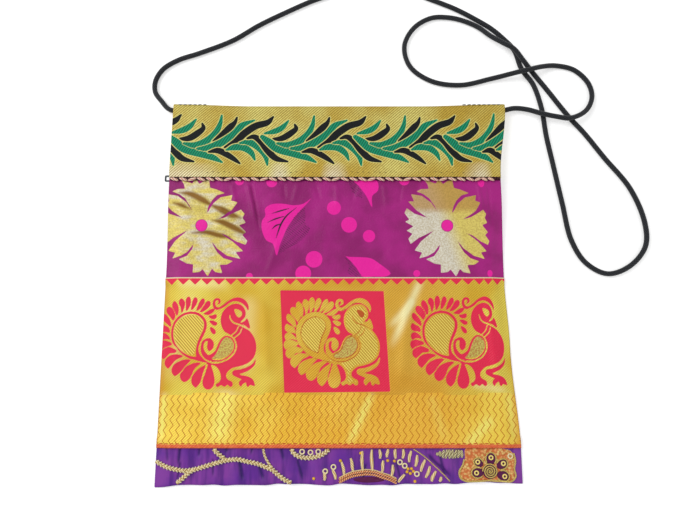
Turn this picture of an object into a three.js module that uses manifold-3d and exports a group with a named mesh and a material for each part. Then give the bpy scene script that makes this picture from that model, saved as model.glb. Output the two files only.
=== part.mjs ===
// A flat zipped sling pouch sewn from bands of brocade, lying on its back.
// Millimetres, +Z up. The front faces +Z, and the top edge with the shoulder cord faces +Y.
import * as THREE from "three";
import { mergeVertices } from "three/addons/utils/BufferGeometryUtils.js";
import Module from "manifold-3d";

const wasm = await Module();
wasm.setup();

// Driving dimensions
const bagWidth = 201;
const bagHeight = 223.5;
const cloth = 0.5; // thickness of one layer of cloth
const layerGap = 0.3; // air between two layers that lie on each other
const goldBandHeight = 48; // from the top edge to the selvedge
const magentaBandHeight = 59;
const peacockBandHeight = 95.5;
const seamLap = 2; // how far a band reaches under the one that laps over it
const hemDepth = 11; // gold cloth turned in behind the top edge
const seamRim = 9; // width over which the front falls to the side seams
const frontRise = 2.3; // underside of the flat middle of the front
const gatherDepth = 0.45;
const gatherPitch = 14;
const scallopPitch = 6.7;
const scallopDepth = 1.5;
const selvedgeThickness = 0.3;
const floatHeight = 0.2; // how far woven figures stand above their ground
const vineRepeat = 55.8;
const vineHeight = 91.5; // middle of the leaf vine along Y
const leafScale = 1;
const flowerPlace = [67, 35];
const flowerRadius = 25.5;
const peacockSpacing = 72;
const squareSide = 57.5;
const toothPitch = 7;
const toothHeight = 3.6;
const couchedCord = 1.7; // gold cord sewn on the silk
const sequinRadius = 1.5;
const barWidth = 1.2;
const patchThickness = 0.4;

const zipInset = 6.5; // from the side seam to the end of the coils
const tapeWidth = 8.5;
const tapeThickness = 0.3;
const coilWidth = 1.4; // one row
const coilHeight = 1;
const coilPitch = 3;
const coilSpacing = 1.4; // free strip between the rows, where the slider's post runs
const runningGap = 0.2;
const sliderLength = 8;
const sliderFlange = 0.9; // slider wall outside the coils
const sliderPlate = 0.4;
const postLength = 2.2;
const postWidth = 0.8;
const stopLength = 2;
const pullWidth = 3.9;
const pullThickness = 0.6;
const pullBar = 0.9;
const pullReach = 3.1; // how far the pull stands out past the side seam
const crownPlace = 2; // from the slider's front to the pull's pivot
const crownWidth = 1.2;
const crownLeg = 0.7;
const crownBridge = 0.3;

const cordDiameter = 3;
const cordSteps = 84;

// Heights of the layers, worked out from the back cloth upwards
const halfWidth = bagWidth / 2;
const halfHeight = bagHeight / 2;
const zipHalfLength = halfWidth - zipInset;
const backTop = cloth;
const seamUnderside = backTop + layerGap;
const secondUnderside = seamUnderside + cloth + layerGap;
const sliderBottom = backTop + layerGap;
const tapeBottom = sliderBottom + sliderPlate + layerGap;
const tapeTop = tapeBottom + tapeThickness;
const coilBottom = tapeTop + runningGap;
const coilTop = coilBottom + coilHeight;
const channelTop = coilTop + runningGap;
const sliderTop = channelTop + sliderPlate;
const pullBottom = sliderTop + runningGap;
const pullTop = pullBottom + pullThickness;
const crownTop = pullTop + runningGap + crownBridge;
const magentaOverZip = crownTop + layerGap;
const goldOverMagenta = magentaOverZip + cloth + layerGap;
const goldAtTop = seamUnderside + cloth + layerGap + cordDiameter + layerGap * 2;

const figureTop = goldOverMagenta + cloth * 4;

// Places of the seams along Y
const goldEdge = halfHeight - goldBandHeight;
const magentaTop = goldEdge + seamLap;
const peacockTop = goldEdge - magentaBandHeight;
const magentaBottom = peacockTop - seamLap;
const peacockBottom = peacockTop - peacockBandHeight;
const purpleTop = peacockBottom + seamLap * 2;
const zipY = goldEdge + 0.4;

// The origin is the middle of the pouch and its pull together
const bagShift = pullReach / 2;

const palette = {
  gold: [0xd9be55, 0.42, 0.45],
  magenta: [0x9a1f6a, 0.45, 0],
  zari: [0xf0c03c, 0.4, 0.4],
  purple: [0x5f2a8c, 0.4, 0],
  gunmetal: [0x3a3f42, 0.35, 0.9],
  tape: [0x43203c, 0.8, 0],
  nylon: [0x2c2026, 0.5, 0],
  cord: [0x1d2026, 0.75, 0],
  gilt: [0xddbe6c, 0.4, 0.4],
  patch: [0xe5984a, 0.5, 0],
};

const pouch = new THREE.Group();
const bag = new THREE.Group();
bag.position.x = bagShift;
pouch.add(bag);

function addPiece(name, geometry, finish, parent = bag) {
  const [color, roughness, metalness] = palette[finish];
  const mesh = new THREE.Mesh(geometry, new THREE.MeshStandardMaterial({ color, roughness, metalness }));
  mesh.name = name;
  parent.add(mesh);
  return mesh;
}

// Smooth step from 0 to 1 as t runs from 0 to 1
function ease(t) {
  const k = Math.min(1, Math.max(0, t));
  return k * k * (3 - 2 * k);
}

// Height along a line of [place, height] stations, eased from each one to the next
function through(stations, place) {
  const after = stations.findIndex(([p]) => place < p);
  if (after === 0) return stations[0][1];
  if (after < 0) return stations[stations.length - 1][1];
  const [p0, h0] = stations[after - 1];
  const [p1, h1] = stations[after];
  return h0 + (h1 - h0) * ease((place - p0) / (p1 - p0));
}

// How far a point at x has risen from the side seam (0) to the flat middle (1)
function riseFromSeam(x) {
  return ease((halfWidth - Math.abs(x)) / seamRim);
}

// Columns of a strip: a few in each side rim, and the rest evenly across the middle
const rimColumns = 3;
const flatColumns = 26;
const gatheredColumns = 64;
function columnPlace(index, across) {
  const fromSide = Math.min(index, across - index);
  const side = index < across / 2 ? -1 : 1;
  if (fromSide <= rimColumns) return side * (halfWidth - (seamRim * fromSide) / rimColumns);
  const middle = halfWidth - seamRim;
  return -middle + (2 * middle * (index - rimColumns)) / (across - 2 * rimColumns);
}

// A strip of cloth as wide as the bag. Its length follows a line in the YZ plane: line(s) is the
// middle of the cloth at length s, runs lists [length, rows] from end to end, and lift(x, s, y)
// adds height.
function clothStrip(runs, across, line, lift) {
  const along = runs.reduce((sum, [, rows]) => sum + rows, 0);
  const rowLengths = [0];
  for (const [length, rows] of runs) {
    const start = rowLengths[rowLengths.length - 1];
    for (let row = 1; row <= rows; row += 1) rowLengths.push(start + (length * row) / rows);
  }
  const slab = new THREE.BoxGeometry(across, along, cloth, across, along, 1);
  const place = slab.getAttribute("position");
  const small = 0.01;
  for (let i = 0; i < place.count; i += 1) {
    const x = columnPlace(Math.round(place.getX(i) + across / 2), across);
    const s = rowLengths[Math.round(place.getY(i) + along / 2)];
    const t = place.getZ(i);
    const [y, z] = line(s);
    const [yBefore, zBefore] = line(s - small);
    const [yAfter, zAfter] = line(s + small);
    const stretch = Math.hypot(yAfter - yBefore, zAfter - zBefore);
    const normalY = -(zAfter - zBefore) / stretch;
    const normalZ = (yAfter - yBefore) / stretch;
    place.setXYZ(i, x, y + t * normalY, z + t * normalZ + lift(x, s, y));
  }
  return slab;
}

// A line that runs straight along Y (heading 1 or -1), makes a half turn and runs straight back
function foldedLine([y0, z0], firstRun, radius, heading) {
  const turn = Math.PI * radius;
  const yTurn = y0 + heading * firstRun;
  return (s) => {
    if (s <= firstRun) return [y0 + heading * s, z0];
    const angle = Math.min(Math.PI, (s - firstRun) / radius);
    const beyond = Math.max(0, s - firstRun - turn);
    const y = yTurn + heading * (radius * Math.sin(angle) - beyond);
    return [y, z0 - heading * radius * (1 - Math.cos(angle))];
  };
}

function solidOf(geometry) {
  const bare = geometry.clone();
  bare.deleteAttribute("normal");
  bare.deleteAttribute("uv");
  const merged = mergeVertices(bare, 1e-4);
  const vertProperties = Float32Array.from(merged.getAttribute("position").array);
  const triVerts = Uint32Array.from(merged.index.array);
  return new wasm.Manifold(new wasm.Mesh({ numProp: 3, vertProperties, triVerts }));
}

function geometryOf(solid) {
  const mesh = solid.getMesh();
  const geometry = new THREE.BufferGeometry();
  geometry.setAttribute("position", new THREE.BufferAttribute(Float32Array.from(mesh.vertProperties), 3));
  geometry.setIndex(new THREE.BufferAttribute(Uint32Array.from(mesh.triVerts), 1));
  geometry.computeVertexNormals();
  return geometry;
}

// A block between two corners
function block(low, high) {
  const size = high.map((value, axis) => value - low[axis]);
  const middle = high.map((value, axis) => (value + low[axis]) / 2);
  return new THREE.BoxGeometry(...size).translate(...middle);
}

// A flat plate with the given outline in the XY plane
function plate(shape, bottom, top) {
  const depth = top - bottom;
  const geometry = new THREE.ExtrudeGeometry(shape, { depth, bevelEnabled: false, curveSegments: 4 });
  return geometry.translate(0, 0, bottom);
}

function roundedRectangle(path, [left, low], [right, high], radius) {
  path.moveTo(left + radius, low);
  path.lineTo(right - radius, low);
  path.quadraticCurveTo(right, low, right, low + radius);
  path.lineTo(right, high - radius);
  path.quadraticCurveTo(right, high, right - radius, high);
  path.lineTo(left + radius, high);
  path.quadraticCurveTo(left, high, left, high - radius);
  path.lineTo(left, low + radius);
  path.quadraticCurveTo(left, low, left + radius, low);
  return path;
}

// Upright prisms over closed outlines in the XY plane, joined into one solid
function prisms(outlines, bottom, top) {
  const solids = outlines.map((outline) => {
    const shape = new THREE.Shape(outline.map(([x, y]) => new THREE.Vector2(x, y)));
    return solidOf(plate(shape, bottom, top));
  });
  return solids.reduce((joined, solid) => joined.add(solid));
}

// Woven figures are cut from prisms taller than the bag
function figuresOver(outlines) {
  return prisms(outlines, 0, figureTop);
}

// A curved leaf: it starts at a point, turns by bend over its length and is widest at its middle
function leaf([startX, startY], heading, bend, length, width, steps = 3) {
  const near = [];
  const far = [];
  let x = startX;
  let y = startY;
  for (let i = 0; i <= steps; i += 1) {
    const angle = heading + (bend * i) / steps;
    const half = (width / 2) * Math.sin((Math.PI * i) / steps);
    near.push([x + half * Math.sin(angle), y - half * Math.cos(angle)]);
    if (i > 0 && i < steps) far.unshift([x - half * Math.sin(angle), y + half * Math.cos(angle)]);
    x += (length / steps) * Math.cos(angle);
    y += (length / steps) * Math.sin(angle);
  }
  return [...near, ...far];
}

// An ellipse turned by tilt
function oval([centerX, centerY], radiusX, radiusY, tilt = 0, corners = 12) {
  const outline = [];
  for (let i = 0; i < corners; i += 1) {
    const angle = (2 * Math.PI * i) / corners;
    const u = radiusX * Math.cos(angle);
    const v = radiusY * Math.sin(angle);
    outline.push([
      centerX + u * Math.cos(tilt) - v * Math.sin(tilt),
      centerY + u * Math.sin(tilt) + v * Math.cos(tilt),
    ]);
  }
  return outline;
}

// Leaf vine of the gold band: leaves fan out upwards and downwards from a wavy stem
function vine() {
  const leaves = [];
  const count = Math.ceil(bagWidth / vineRepeat) + 1;
  for (let i = -1; i < count; i += 1) {
    const x = -halfWidth + vineRepeat * i;
    const y = vineHeight;
    leaves.push(leaf([x, y + 1], 0.15, 0.8, 17, 3 * leafScale));
    leaves.push(leaf([x + 4, y - 3], 0, 1.4, 18, 3.2 * leafScale));
    leaves.push(leaf([x - 2, y - 2], -0.75, 0.35, 36, 4 * leafScale));
    leaves.push(leaf([x + 8, y - 7], -0.15, 1.5, 30, 3.5 * leafScale));
    leaves.push(leaf([x + 25, y - 5], 0.6, 0.6, 22, 3.2 * leafScale));
    leaves.push(leaf([x + 16, y - 10], 0.05, 0.9, 38, 3.7 * leafScale));
    leaves.push(leaf([x + 32, y - 9], 0.55, 0.2, 36, 3.8 * leafScale));
    leaves.push(leaf([x + 23, y - 12], 0.15, -0.9, 21, 2.8 * leafScale));
    leaves.push(leaf([x + 33, y - 11], 0.3, -1.5, 20, 3 * leafScale));
    leaves.push(leaf([x + 41, y - 7], 0.1, -1.5, 24, 3.4 * leafScale));
  }
  return figuresOver(leaves);
}

// Flower of the magenta band: eight toothed petals parted by slits round a centre dot
function flower([centerX, centerY]) {
  const petals = 8;
  const teeth = 3;
  const rim = [];
  for (let petal = 0; petal < petals; petal += 1) {
    const start = (2 * Math.PI * (petal - 0.5)) / petals;
    rim.push([start, 0.3]);
    for (let tooth = 0; tooth < teeth; tooth += 1) {
      const step = (2 * Math.PI) / petals / teeth;
      rim.push([start + step * (tooth + 0.12), 0.82]);
      rim.push([start + step * (tooth + 0.5), tooth === 1 ? 1.05 : 0.97]);
      rim.push([start + step * (tooth + 0.88), 0.82]);
    }
  }
  const outline = rim.map(([angle, share]) => [
    centerX + flowerRadius * share * Math.cos(angle),
    centerY + flowerRadius * share * 1.08 * Math.sin(angle),
  ]);
  const dot = oval([centerX, centerY], 3.3, 3.3, 0, 12);
  return figuresOver([outline]).subtract(figuresOver([dot]));
}

// Peacock with a fan of feathers round its looped tail, a ringed wing, a crest and two feet
function peacock([x, y]) {
  const tail = [x - 11.3, y + 4.4];
  const tailTilt = 0.3;
  const feathers = 17;
  const solid = [];
  for (let i = 0; i < feathers; i += 1) {
    const angle = 0.45 + (4.4 * i) / (feathers - 1);
    const base = [tail[0] + 10 * Math.cos(angle), tail[1] + 14 * Math.sin(angle)];
    const length = i < 5 ? 6.5 : 7 + (i - 5) * 0.45;
    solid.push(leaf(base, angle + 0.15, 0.25, length, 2.7, 3));
  }
  solid.push(oval(tail, 9.2, 13.6, tailTilt, 14));
  solid.push(oval([x + 16.5, y - 3.5], 10.3, 10.6, 0.5));
  solid.push(oval([x + 11.5, y + 11], 4.8, 8, 0.1));
  solid.push(oval([x + 14.5, y + 16.8], 6, 5.6));
  solid.push(leaf([x + 18, y + 14], -1.15, 0, 7.5, 3.2, 2));
  solid.push(leaf([x + 3.5, y + 21], 0.1, 0.55, 9.5, 2.2));
  solid.push(leaf([x + 11.5, y + 24.2], 0.1, -1.2, 11, 2.4));
  solid.push(leaf([x + 8, y - 12], -1.5, 0.2, 13, 3.4, 3));
  solid.push(leaf([x + 14, y - 17], -0.5, -0.3, 14, 3, 3));
  solid.push(leaf([x + 4.5, y - 24], 0, 0, 10, 1.8, 2));
  const tailEye = figuresOver([oval(tail, 7.8, 12, tailTilt, 14)]);
  const wing = figuresOver([oval([x + 7.6, y - 3.2], 6.9, 4.5, 0.7)]);
  const eye = figuresOver([oval([x + 16.2, y + 17], 2, 2.3, 0, 6)]);
  return figuresOver(solid).subtract(tailEye).subtract(eye).subtract(wing);
}

// Figures of the peacock border: raised birds at the sides, a sunk bird in the raised square, and
// a row of teeth along the upper edge
function peacockFigures() {
  const birdY = peacockTop - peacockBandHeight * 0.39;
  const half = squareSide / 2;
  const square = figuresOver([
    [[-half, birdY - half], [half, birdY - half], [half, birdY + half], [-half, birdY + half]],
  ]);
  const teeth = Math.round(bagWidth / toothPitch);
  const pitch = bagWidth / teeth;
  const toothRoot = peacockTop - seamLap / 4;
  const saw = [[halfWidth, toothRoot]];
  saw.push([-halfWidth, toothRoot]);
  for (let i = 0; i < teeth; i += 1) {
    const left = -halfWidth + pitch * i;
    saw.push([left + pitch / 2, toothRoot - toothHeight]);
    if (i < teeth - 1) saw.push([left + pitch, toothRoot - toothHeight / 8]);
  }
  const birds = peacock([-peacockSpacing, birdY]).add(peacock([peacockSpacing, birdY]));
  return birds.add(square.subtract(peacock([-2, birdY]))).add(figuresOver([saw]));
}

// Lifts the band's own surface where a figure floats on it, above the height bottom
function withFigures(band, figures, bottom) {
  const ground = solidOf(band);
  const side = bagWidth + bagHeight;
  const above = solidOf(block([-side, -side, bottom], [side, side, figureTop]));
  const raised = ground.translate([0, 0, floatHeight]).intersect(figures).intersect(above);
  return ground.add(raised);
}

// Purple silk: the whole back, turned up round the bottom and gathered into the lowest front band
function gathers(x) {
  const wave = Math.sin((2 * Math.PI * x) / gatherPitch + 1.3 * Math.sin(x / 17));
  const ripple = Math.sin((3.1 * Math.PI * x) / gatherPitch + 2.1);
  return gatherDepth * (0.7 * wave + 0.3 * ripple);
}

function purplePanel() {
  const radius = frontRise / 2 - cloth / 4;
  const backEdge = halfHeight - 1;
  const turnY = -halfHeight + radius + cloth / 2;
  const backRun = backEdge - turnY;
  const turn = Math.PI * radius;
  const frontRun = purpleTop - turnY;
  const seamDrop = radius * 2 - cloth - layerGap;
  const lift = (x, s) => {
    const rise = riseFromSeam(x);
    return ease((s - backRun) / turn) * (gathers(x) * rise - (1 - rise) * seamDrop);
  };
  const line = foldedLine([backEdge, cloth / 2], backRun, radius, -1);
  return clothStrip([[backRun, 2], [turn, 4], [frontRun, 3]], gatheredColumns, line, lift);
}

const purpleTopHeight = frontRise + cloth / 2 + gatherDepth;

// Gold brocade: hemmed inwards over the shoulder cord's ends, scalloped along its lower selvedge
function scallopedSelvedge() {
  const count = Math.round(bagWidth / scallopPitch);
  const pitch = bagWidth / count;
  const shape = new THREE.Shape();
  shape.moveTo(halfWidth, goldEdge + scallopDepth);
  shape.lineTo(-halfWidth, goldEdge + scallopDepth);
  shape.lineTo(-halfWidth, goldEdge - scallopDepth / 4);
  for (let i = 0; i < count; i += 1) {
    const left = -halfWidth + pitch * i;
    const dip = goldEdge - scallopDepth * 1.75;
    shape.quadraticCurveTo(left + pitch / 2, dip, left + pitch, goldEdge - scallopDepth / 4);
  }
  return plate(shape, goldOverMagenta + 0.02, goldOverMagenta + selvedgeThickness);
}

function goldBand() {
  const topMiddle = goldAtTop + cloth / 2;
  const hemMiddle = seamUnderside + cloth / 2;
  const radius = (topMiddle - hemMiddle) / 2;
  const frontRun = halfHeight - radius - cloth / 2 - goldEdge;
  const overZip = goldOverMagenta - goldAtTop;
  const lift = (x, s) => overZip * (1 - ease((s - tapeWidth) / (frontRun - tapeWidth * 2)));
  const line = foldedLine([goldEdge, topMiddle], frontRun, radius, 1);
  const runs = [[tapeWidth, 1], [frontRun - tapeWidth, 5], [Math.PI * radius, 6], [hemDepth, 1]];
  const band = clothStrip(runs, flatColumns, line, lift);
  return geometryOf(withFigures(band, vine(), frontRise).add(solidOf(scallopedSelvedge())));
}

// Flat front bands: through the middle and along the side seams, underside heights by place
function frontBand(runs, low, middle, seam) {
  const line = (s) => [low + s, cloth / 2];
  const lift = (x, s, y) => {
    const rise = riseFromSeam(x);
    return rise * through(middle, y) + (1 - rise) * through(seam, y);
  };
  return clothStrip(runs, flatColumns, line, lift);
}

function magentaBand() {
  const zipMouth = zipY - coilSpacing - coilWidth - sliderFlange - 1;
  const middle = [[peacockTop, frontRise], [zipMouth, magentaOverZip]];
  const seam = [[peacockTop + seamLap * 2, seamUnderside], [zipMouth, magentaOverZip]];
  const band = frontBand([[magentaTop - magentaBottom, 12]], magentaBottom, middle, seam);
  const [flowerX, flowerY] = flowerPlace;
  const flowers = flower(flowerPlace).add(flower([bagShift - flowerX - seamRim, flowerY]));
  return geometryOf(withFigures(band, flowers, 0));
}

function peacockBand() {
  const overPurple = purpleTopHeight + layerGap;
  const overMagenta = frontRise + cloth + layerGap;
  const clear = 4;
  const middle = [
    [purpleTop, overPurple],
    [purpleTop + clear * 2, frontRise],
    [magentaBottom - clear * 2, frontRise],
    [magentaBottom, overMagenta],
  ];
  const seam = [
    [purpleTop, secondUnderside],
    [purpleTop + clear, seamUnderside],
    [magentaBottom - clear, seamUnderside],
    [magentaBottom, secondUnderside],
  ];
  const edge = purpleTop + clear * 2 - peacockBottom;
  const runs = [[edge, 5], [peacockBandHeight - edge * 2, 3], [edge, 5]];
  const band = frontBand(runs, peacockBottom, middle, seam);
  return geometryOf(withFigures(band, peacockFigures(), 0));
}

addPiece("purple_panel", purplePanel(), "purple");
addPiece("peacock_band", peacockBand(), "zari");
addPiece("magenta_band", magentaBand(), "magenta");
addPiece("gold_band", goldBand(), "gold");

// Embroidery on the lowest band, seated on the gathered silk
function silkTop(x) {
  const rise = riseFromSeam(x);
  const radius = frontRise / 2 - cloth / 4;
  return frontRise + cloth / 2 + gathers(x) * rise - (1 - rise) * (radius * 2 - cloth - layerGap);
}

// A cord sewn along points on the silk
function couched(points) {
  const height = layerGap + couchedCord / 2;
  const place = points.map(([x, y]) => new THREE.Vector3(x, y, 0));
  const course = new THREE.CatmullRomCurve3(place).getSpacedPoints(points.length * 2);
  const laid = course.map(({ x, y }) => new THREE.Vector3(x, y, silkTop(x) + height));
  const path = new THREE.CatmullRomCurve3(laid);
  const round = oval([0, 0], couchedCord / 2, couchedCord / 2, 0, 5);
  const section = new THREE.Shape(round.map(([u, v]) => new THREE.Vector2(u, v)));
  const sweep = { steps: points.length * 2, extrudePath: path, bevelEnabled: false };
  return solidOf(new THREE.ExtrudeGeometry(section, sweep));
}

const embroideryTop = peacockBottom - 1;
const embroideryLow = -halfHeight + 4;

// Four cords that meet and cross like a climbing stem
function couchedStem() {
  const stem = [];
  for (let i = 0; i <= 8; i += 1) {
    const share = i / 8;
    stem.push([-85 + 72 * share, -103 + 6 * Math.sin(Math.PI * (share * 1.45 - 0.15))]);
  }
  const branch = [[-98, -97.5], [-92, -99.4], [-85, -101.6], [-75, -101]];
  const twig = [[-66, embroideryTop], [-62.5, -94.3], [-57, -98]];
  const spur = [[-42, embroideryTop], [-41, -94], [-38, -98.5]];
  const cords = [stem, branch, twig, spur].map((points) => couched(points));
  return geometryOf(cords.reduce((joined, cord) => joined.add(cord)));
}

// Half of a round medallion, cut off by the peacock band above it
function medallionEdge() {
  const rim = [];
  for (let i = 0; i <= 6; i += 1) {
    const angle = (Math.PI * i) / 6;
    rim.push([-15 - 9.5 * Math.cos(angle), embroideryTop - 3.2 * Math.sin(angle)]);
  }
  return geometryOf(couched(rim));
}

// An arc with satin-stitch bars that stand on it like rays
function rayedFan() {
  const arc = [];
  const arcMiddle = 16;
  for (let i = 0; i <= 8; i += 1) {
    const angle = (Math.PI * i) / 8;
    arc.push([arcMiddle - 19 * Math.cos(angle), embroideryLow + 5.5 * Math.sin(angle)]);
  }
  let fan = couched(arc);
  const bars = 11;
  for (let i = 0; i < bars; i += 1) {
    const angle = Math.PI * (0.94 - (0.88 * i) / (bars - 1));
    const foot = [arcMiddle + 19 * Math.cos(angle), embroideryLow + 5.5 * Math.sin(angle)];
    const heading = Math.PI / 2 + (angle - Math.PI / 2) * 0.4;
    const bar = leaf(foot, heading, 0, 6 + 2.5 * Math.sin(angle), barWidth, 4);
    const base = silkTop(foot[0]) + layerGap + couchedCord / 4;
    fan = fan.add(prisms([bar], base, base + couchedCord / 2));
  }
  return geometryOf(fan);
}

function sequin([x, y]) {
  const base = silkTop(x) + layerGap * 2;
  const ring = prisms([oval([x, y], sequinRadius, sequinRadius, 0, 8)], base, base + layerGap);
  const hole = prisms([oval([x, y], sequinRadius / 2, sequinRadius / 2, 0, 6)], base - 1, base + 1);
  return geometryOf(ring.subtract(hole));
}

// Flower patch at the lower right: a lobed ground with five petals and a disc stitched on it
function flowerPatch() {
  const [x, y] = [78.4, -101];
  const base = frontRise + cloth / 2 + gatherDepth + layerGap;
  const lobes = [
    oval([x + 3, y + 2], 12.5, 7.6),
    oval([x - 8, y - 2], 5.5, 4.4),
    oval([x + 10, y + 5.5], 4.5, 4),
    oval([x - 4, y + 6], 5, 3.2),
  ];
  const petals = [];
  for (let i = 0; i < 5; i += 1) {
    const angle = Math.PI * (0.5 + (2 * i) / 5);
    petals.push(oval([x + 6.4 * Math.cos(angle), y + 5 * Math.sin(angle)], 3.1, 2.4, angle, 12));
  }
  const ground = prisms(lobes, base, base + patchThickness);
  const raised = prisms(petals, base, base + patchThickness * 2);
  const disc = prisms([oval([x, y], 4.3, 4.3)], base, base + patchThickness * 3);
  return geometryOf(ground.add(raised).add(disc));
}

addPiece("couched_stem", couchedStem(), "gilt");
addPiece("medallion_edge", medallionEdge(), "gilt");
addPiece("rayed_fan", rayedFan(), "gilt");
addPiece("flower_patch", flowerPatch(), "patch");
addPiece("sequin_left", sequin([-9, -98]), "gilt");
addPiece("sequin_middle", sequin([40, -98]), "gilt");
addPiece("sequin_right", sequin([46, -103.5]), "gilt");

// Coil zip, hidden where the gold selvedge meets the magenta band
const zip = new THREE.Group();
zip.position.y = zipY;
bag.add(zip);

const tapeHalfLength = zipHalfLength + layerGap + stopLength + layerGap;
const coilInner = coilSpacing / 2;
const coilOuter = coilInner + coilWidth;

// One row of the chain: a bar with a tooth at every turn of the coil, on side 1 or -1 of the zip
function coilRow(side) {
  const teeth = Math.floor((zipHalfLength * 2) / coilPitch);
  const pitch = (zipHalfLength * 2) / teeth;
  const root = coilInner + coilWidth / 2;
  const outline = [
    [-zipHalfLength, coilOuter],
    [-zipHalfLength, root],
  ];
  for (let i = 0; i < teeth; i += 1) {
    const left = -zipHalfLength + pitch * i + (side > 0 ? 0.1 : 0.4) * pitch;
    outline.push([left, root]);
    outline.push([left + pitch * 0.1, coilInner]);
    outline.push([left + pitch * 0.4, coilInner]);
    outline.push([left + pitch * 0.5, root]);
  }
  outline.push([zipHalfLength, root]);
  outline.push([zipHalfLength, coilOuter]);
  const shape = new THREE.Shape(outline.map(([x, y]) => new THREE.Vector2(x, y * side)));
  return plate(shape, coilBottom, coilTop);
}

for (const [place, side] of [["upper", 1], ["lower", -1]]) {
  const edges = [side * coilInner, side * (coilInner + tapeWidth)].sort((a, b) => a - b);
  const low = [-tapeHalfLength, edges[0], tapeBottom];
  const high = [tapeHalfLength, edges[1], tapeTop];
  addPiece(`zip_tape_${place}`, block(low, high), "tape", zip);
  addPiece(`zip_coil_${place}`, coilRow(side), "nylon", zip);
  const stopEdges = [side * coilInner, side * coilOuter].sort((a, b) => a - b);
  const stopRight = -zipHalfLength - layerGap;
  const stopLow = [stopRight - stopLength, stopEdges[0], coilBottom];
  addPiece(`zip_stop_${place}`, block(stopLow, [stopRight, stopEdges[1], coilTop]), "gunmetal", zip);
}
const endStopLeft = zipHalfLength + layerGap;
const endStopLow = [endStopLeft, -coilOuter, coilBottom];
addPiece("zip_stop_end", block(endStopLow, [endStopLeft + stopLength, coilOuter, coilTop]), "gunmetal", zip);

// The slider stands at the closed end. Its plates clasp tape and coils, its post runs between the
// rows, and its crown carries the pull.
const sliderFront = -zipHalfLength + layerGap;
const pivotX = sliderFront + crownPlace;

function sliderBody() {
  const outer = coilOuter + runningGap + sliderFlange;
  const channel = coilOuter + runningGap;
  const rear = sliderFront + sliderLength;
  const plan = new THREE.Shape();
  plan.moveTo(sliderFront + 1, -outer);
  plan.lineTo(rear - 1, -outer + 0.5);
  plan.quadraticCurveTo(rear, -outer + 0.5, rear, -outer + 1.5);
  plan.lineTo(rear, outer - 1.5);
  plan.quadraticCurveTo(rear, outer - 0.5, rear - 1, outer - 0.5);
  plan.lineTo(sliderFront + 1, outer);
  plan.quadraticCurveTo(sliderFront, outer, sliderFront, outer - 1);
  plan.lineTo(sliderFront, -outer + 1);
  plan.quadraticCurveTo(sliderFront, -outer, sliderFront + 1, -outer);
  const past = 1;
  const channelLow = [sliderFront - past, -channel, tapeBottom - runningGap];
  const coilChannel = block(channelLow, [rear + past, channel, channelTop]);
  const slotLow = [sliderFront - past, -outer - past, tapeBottom - runningGap];
  const tapeSlot = block(slotLow, [rear + past, outer + past, tapeTop + runningGap]);
  const postLow = [sliderFront, -postWidth / 2, sliderBottom + sliderPlate / 2];
  const post = block(postLow, [sliderFront + postLength, postWidth / 2, sliderTop - sliderPlate / 2]);
  const crownHalf = pullBar / 2 + runningGap + crownLeg;
  const crownLow = [pivotX - crownHalf, -crownWidth / 2, sliderTop - sliderPlate / 2];
  const crown = block(crownLow, [pivotX + crownHalf, crownWidth / 2, crownTop]);
  const eyeHalf = crownHalf - crownLeg;
  const eyeHigh = [pivotX + eyeHalf, crownWidth, pullTop + runningGap];
  const eye = block([pivotX - eyeHalf, -crownWidth, sliderTop], eyeHigh);
  const body = solidOf(plate(plan, sliderBottom, sliderTop))
    .subtract(solidOf(coilChannel))
    .subtract(solidOf(tapeSlot))
    .add(solidOf(post))
    .add(solidOf(crown).subtract(solidOf(eye)));
  return geometryOf(body);
}

// The pull is a flat open loop hooked through the crown
function pullLoop() {
  const near = pivotX + pullBar / 2;
  const far = -halfWidth - pullReach;
  const half = pullWidth / 2;
  const shape = roundedRectangle(new THREE.Shape(), [far, -half], [near, half], 0.8);
  const windowLow = [far + pullBar, -half + pullBar];
  const windowHigh = [near - pullBar, half - pullBar];
  const window = roundedRectangle(new THREE.Path(), windowLow, windowHigh, 0.4);
  shape.holes.push(window);
  return plate(shape, pullBottom, pullTop);
}

addPiece("zip_slider", sliderBody(), "gunmetal", zip);
addPiece("zip_pull", pullLoop(), "gunmetal", zip);

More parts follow.
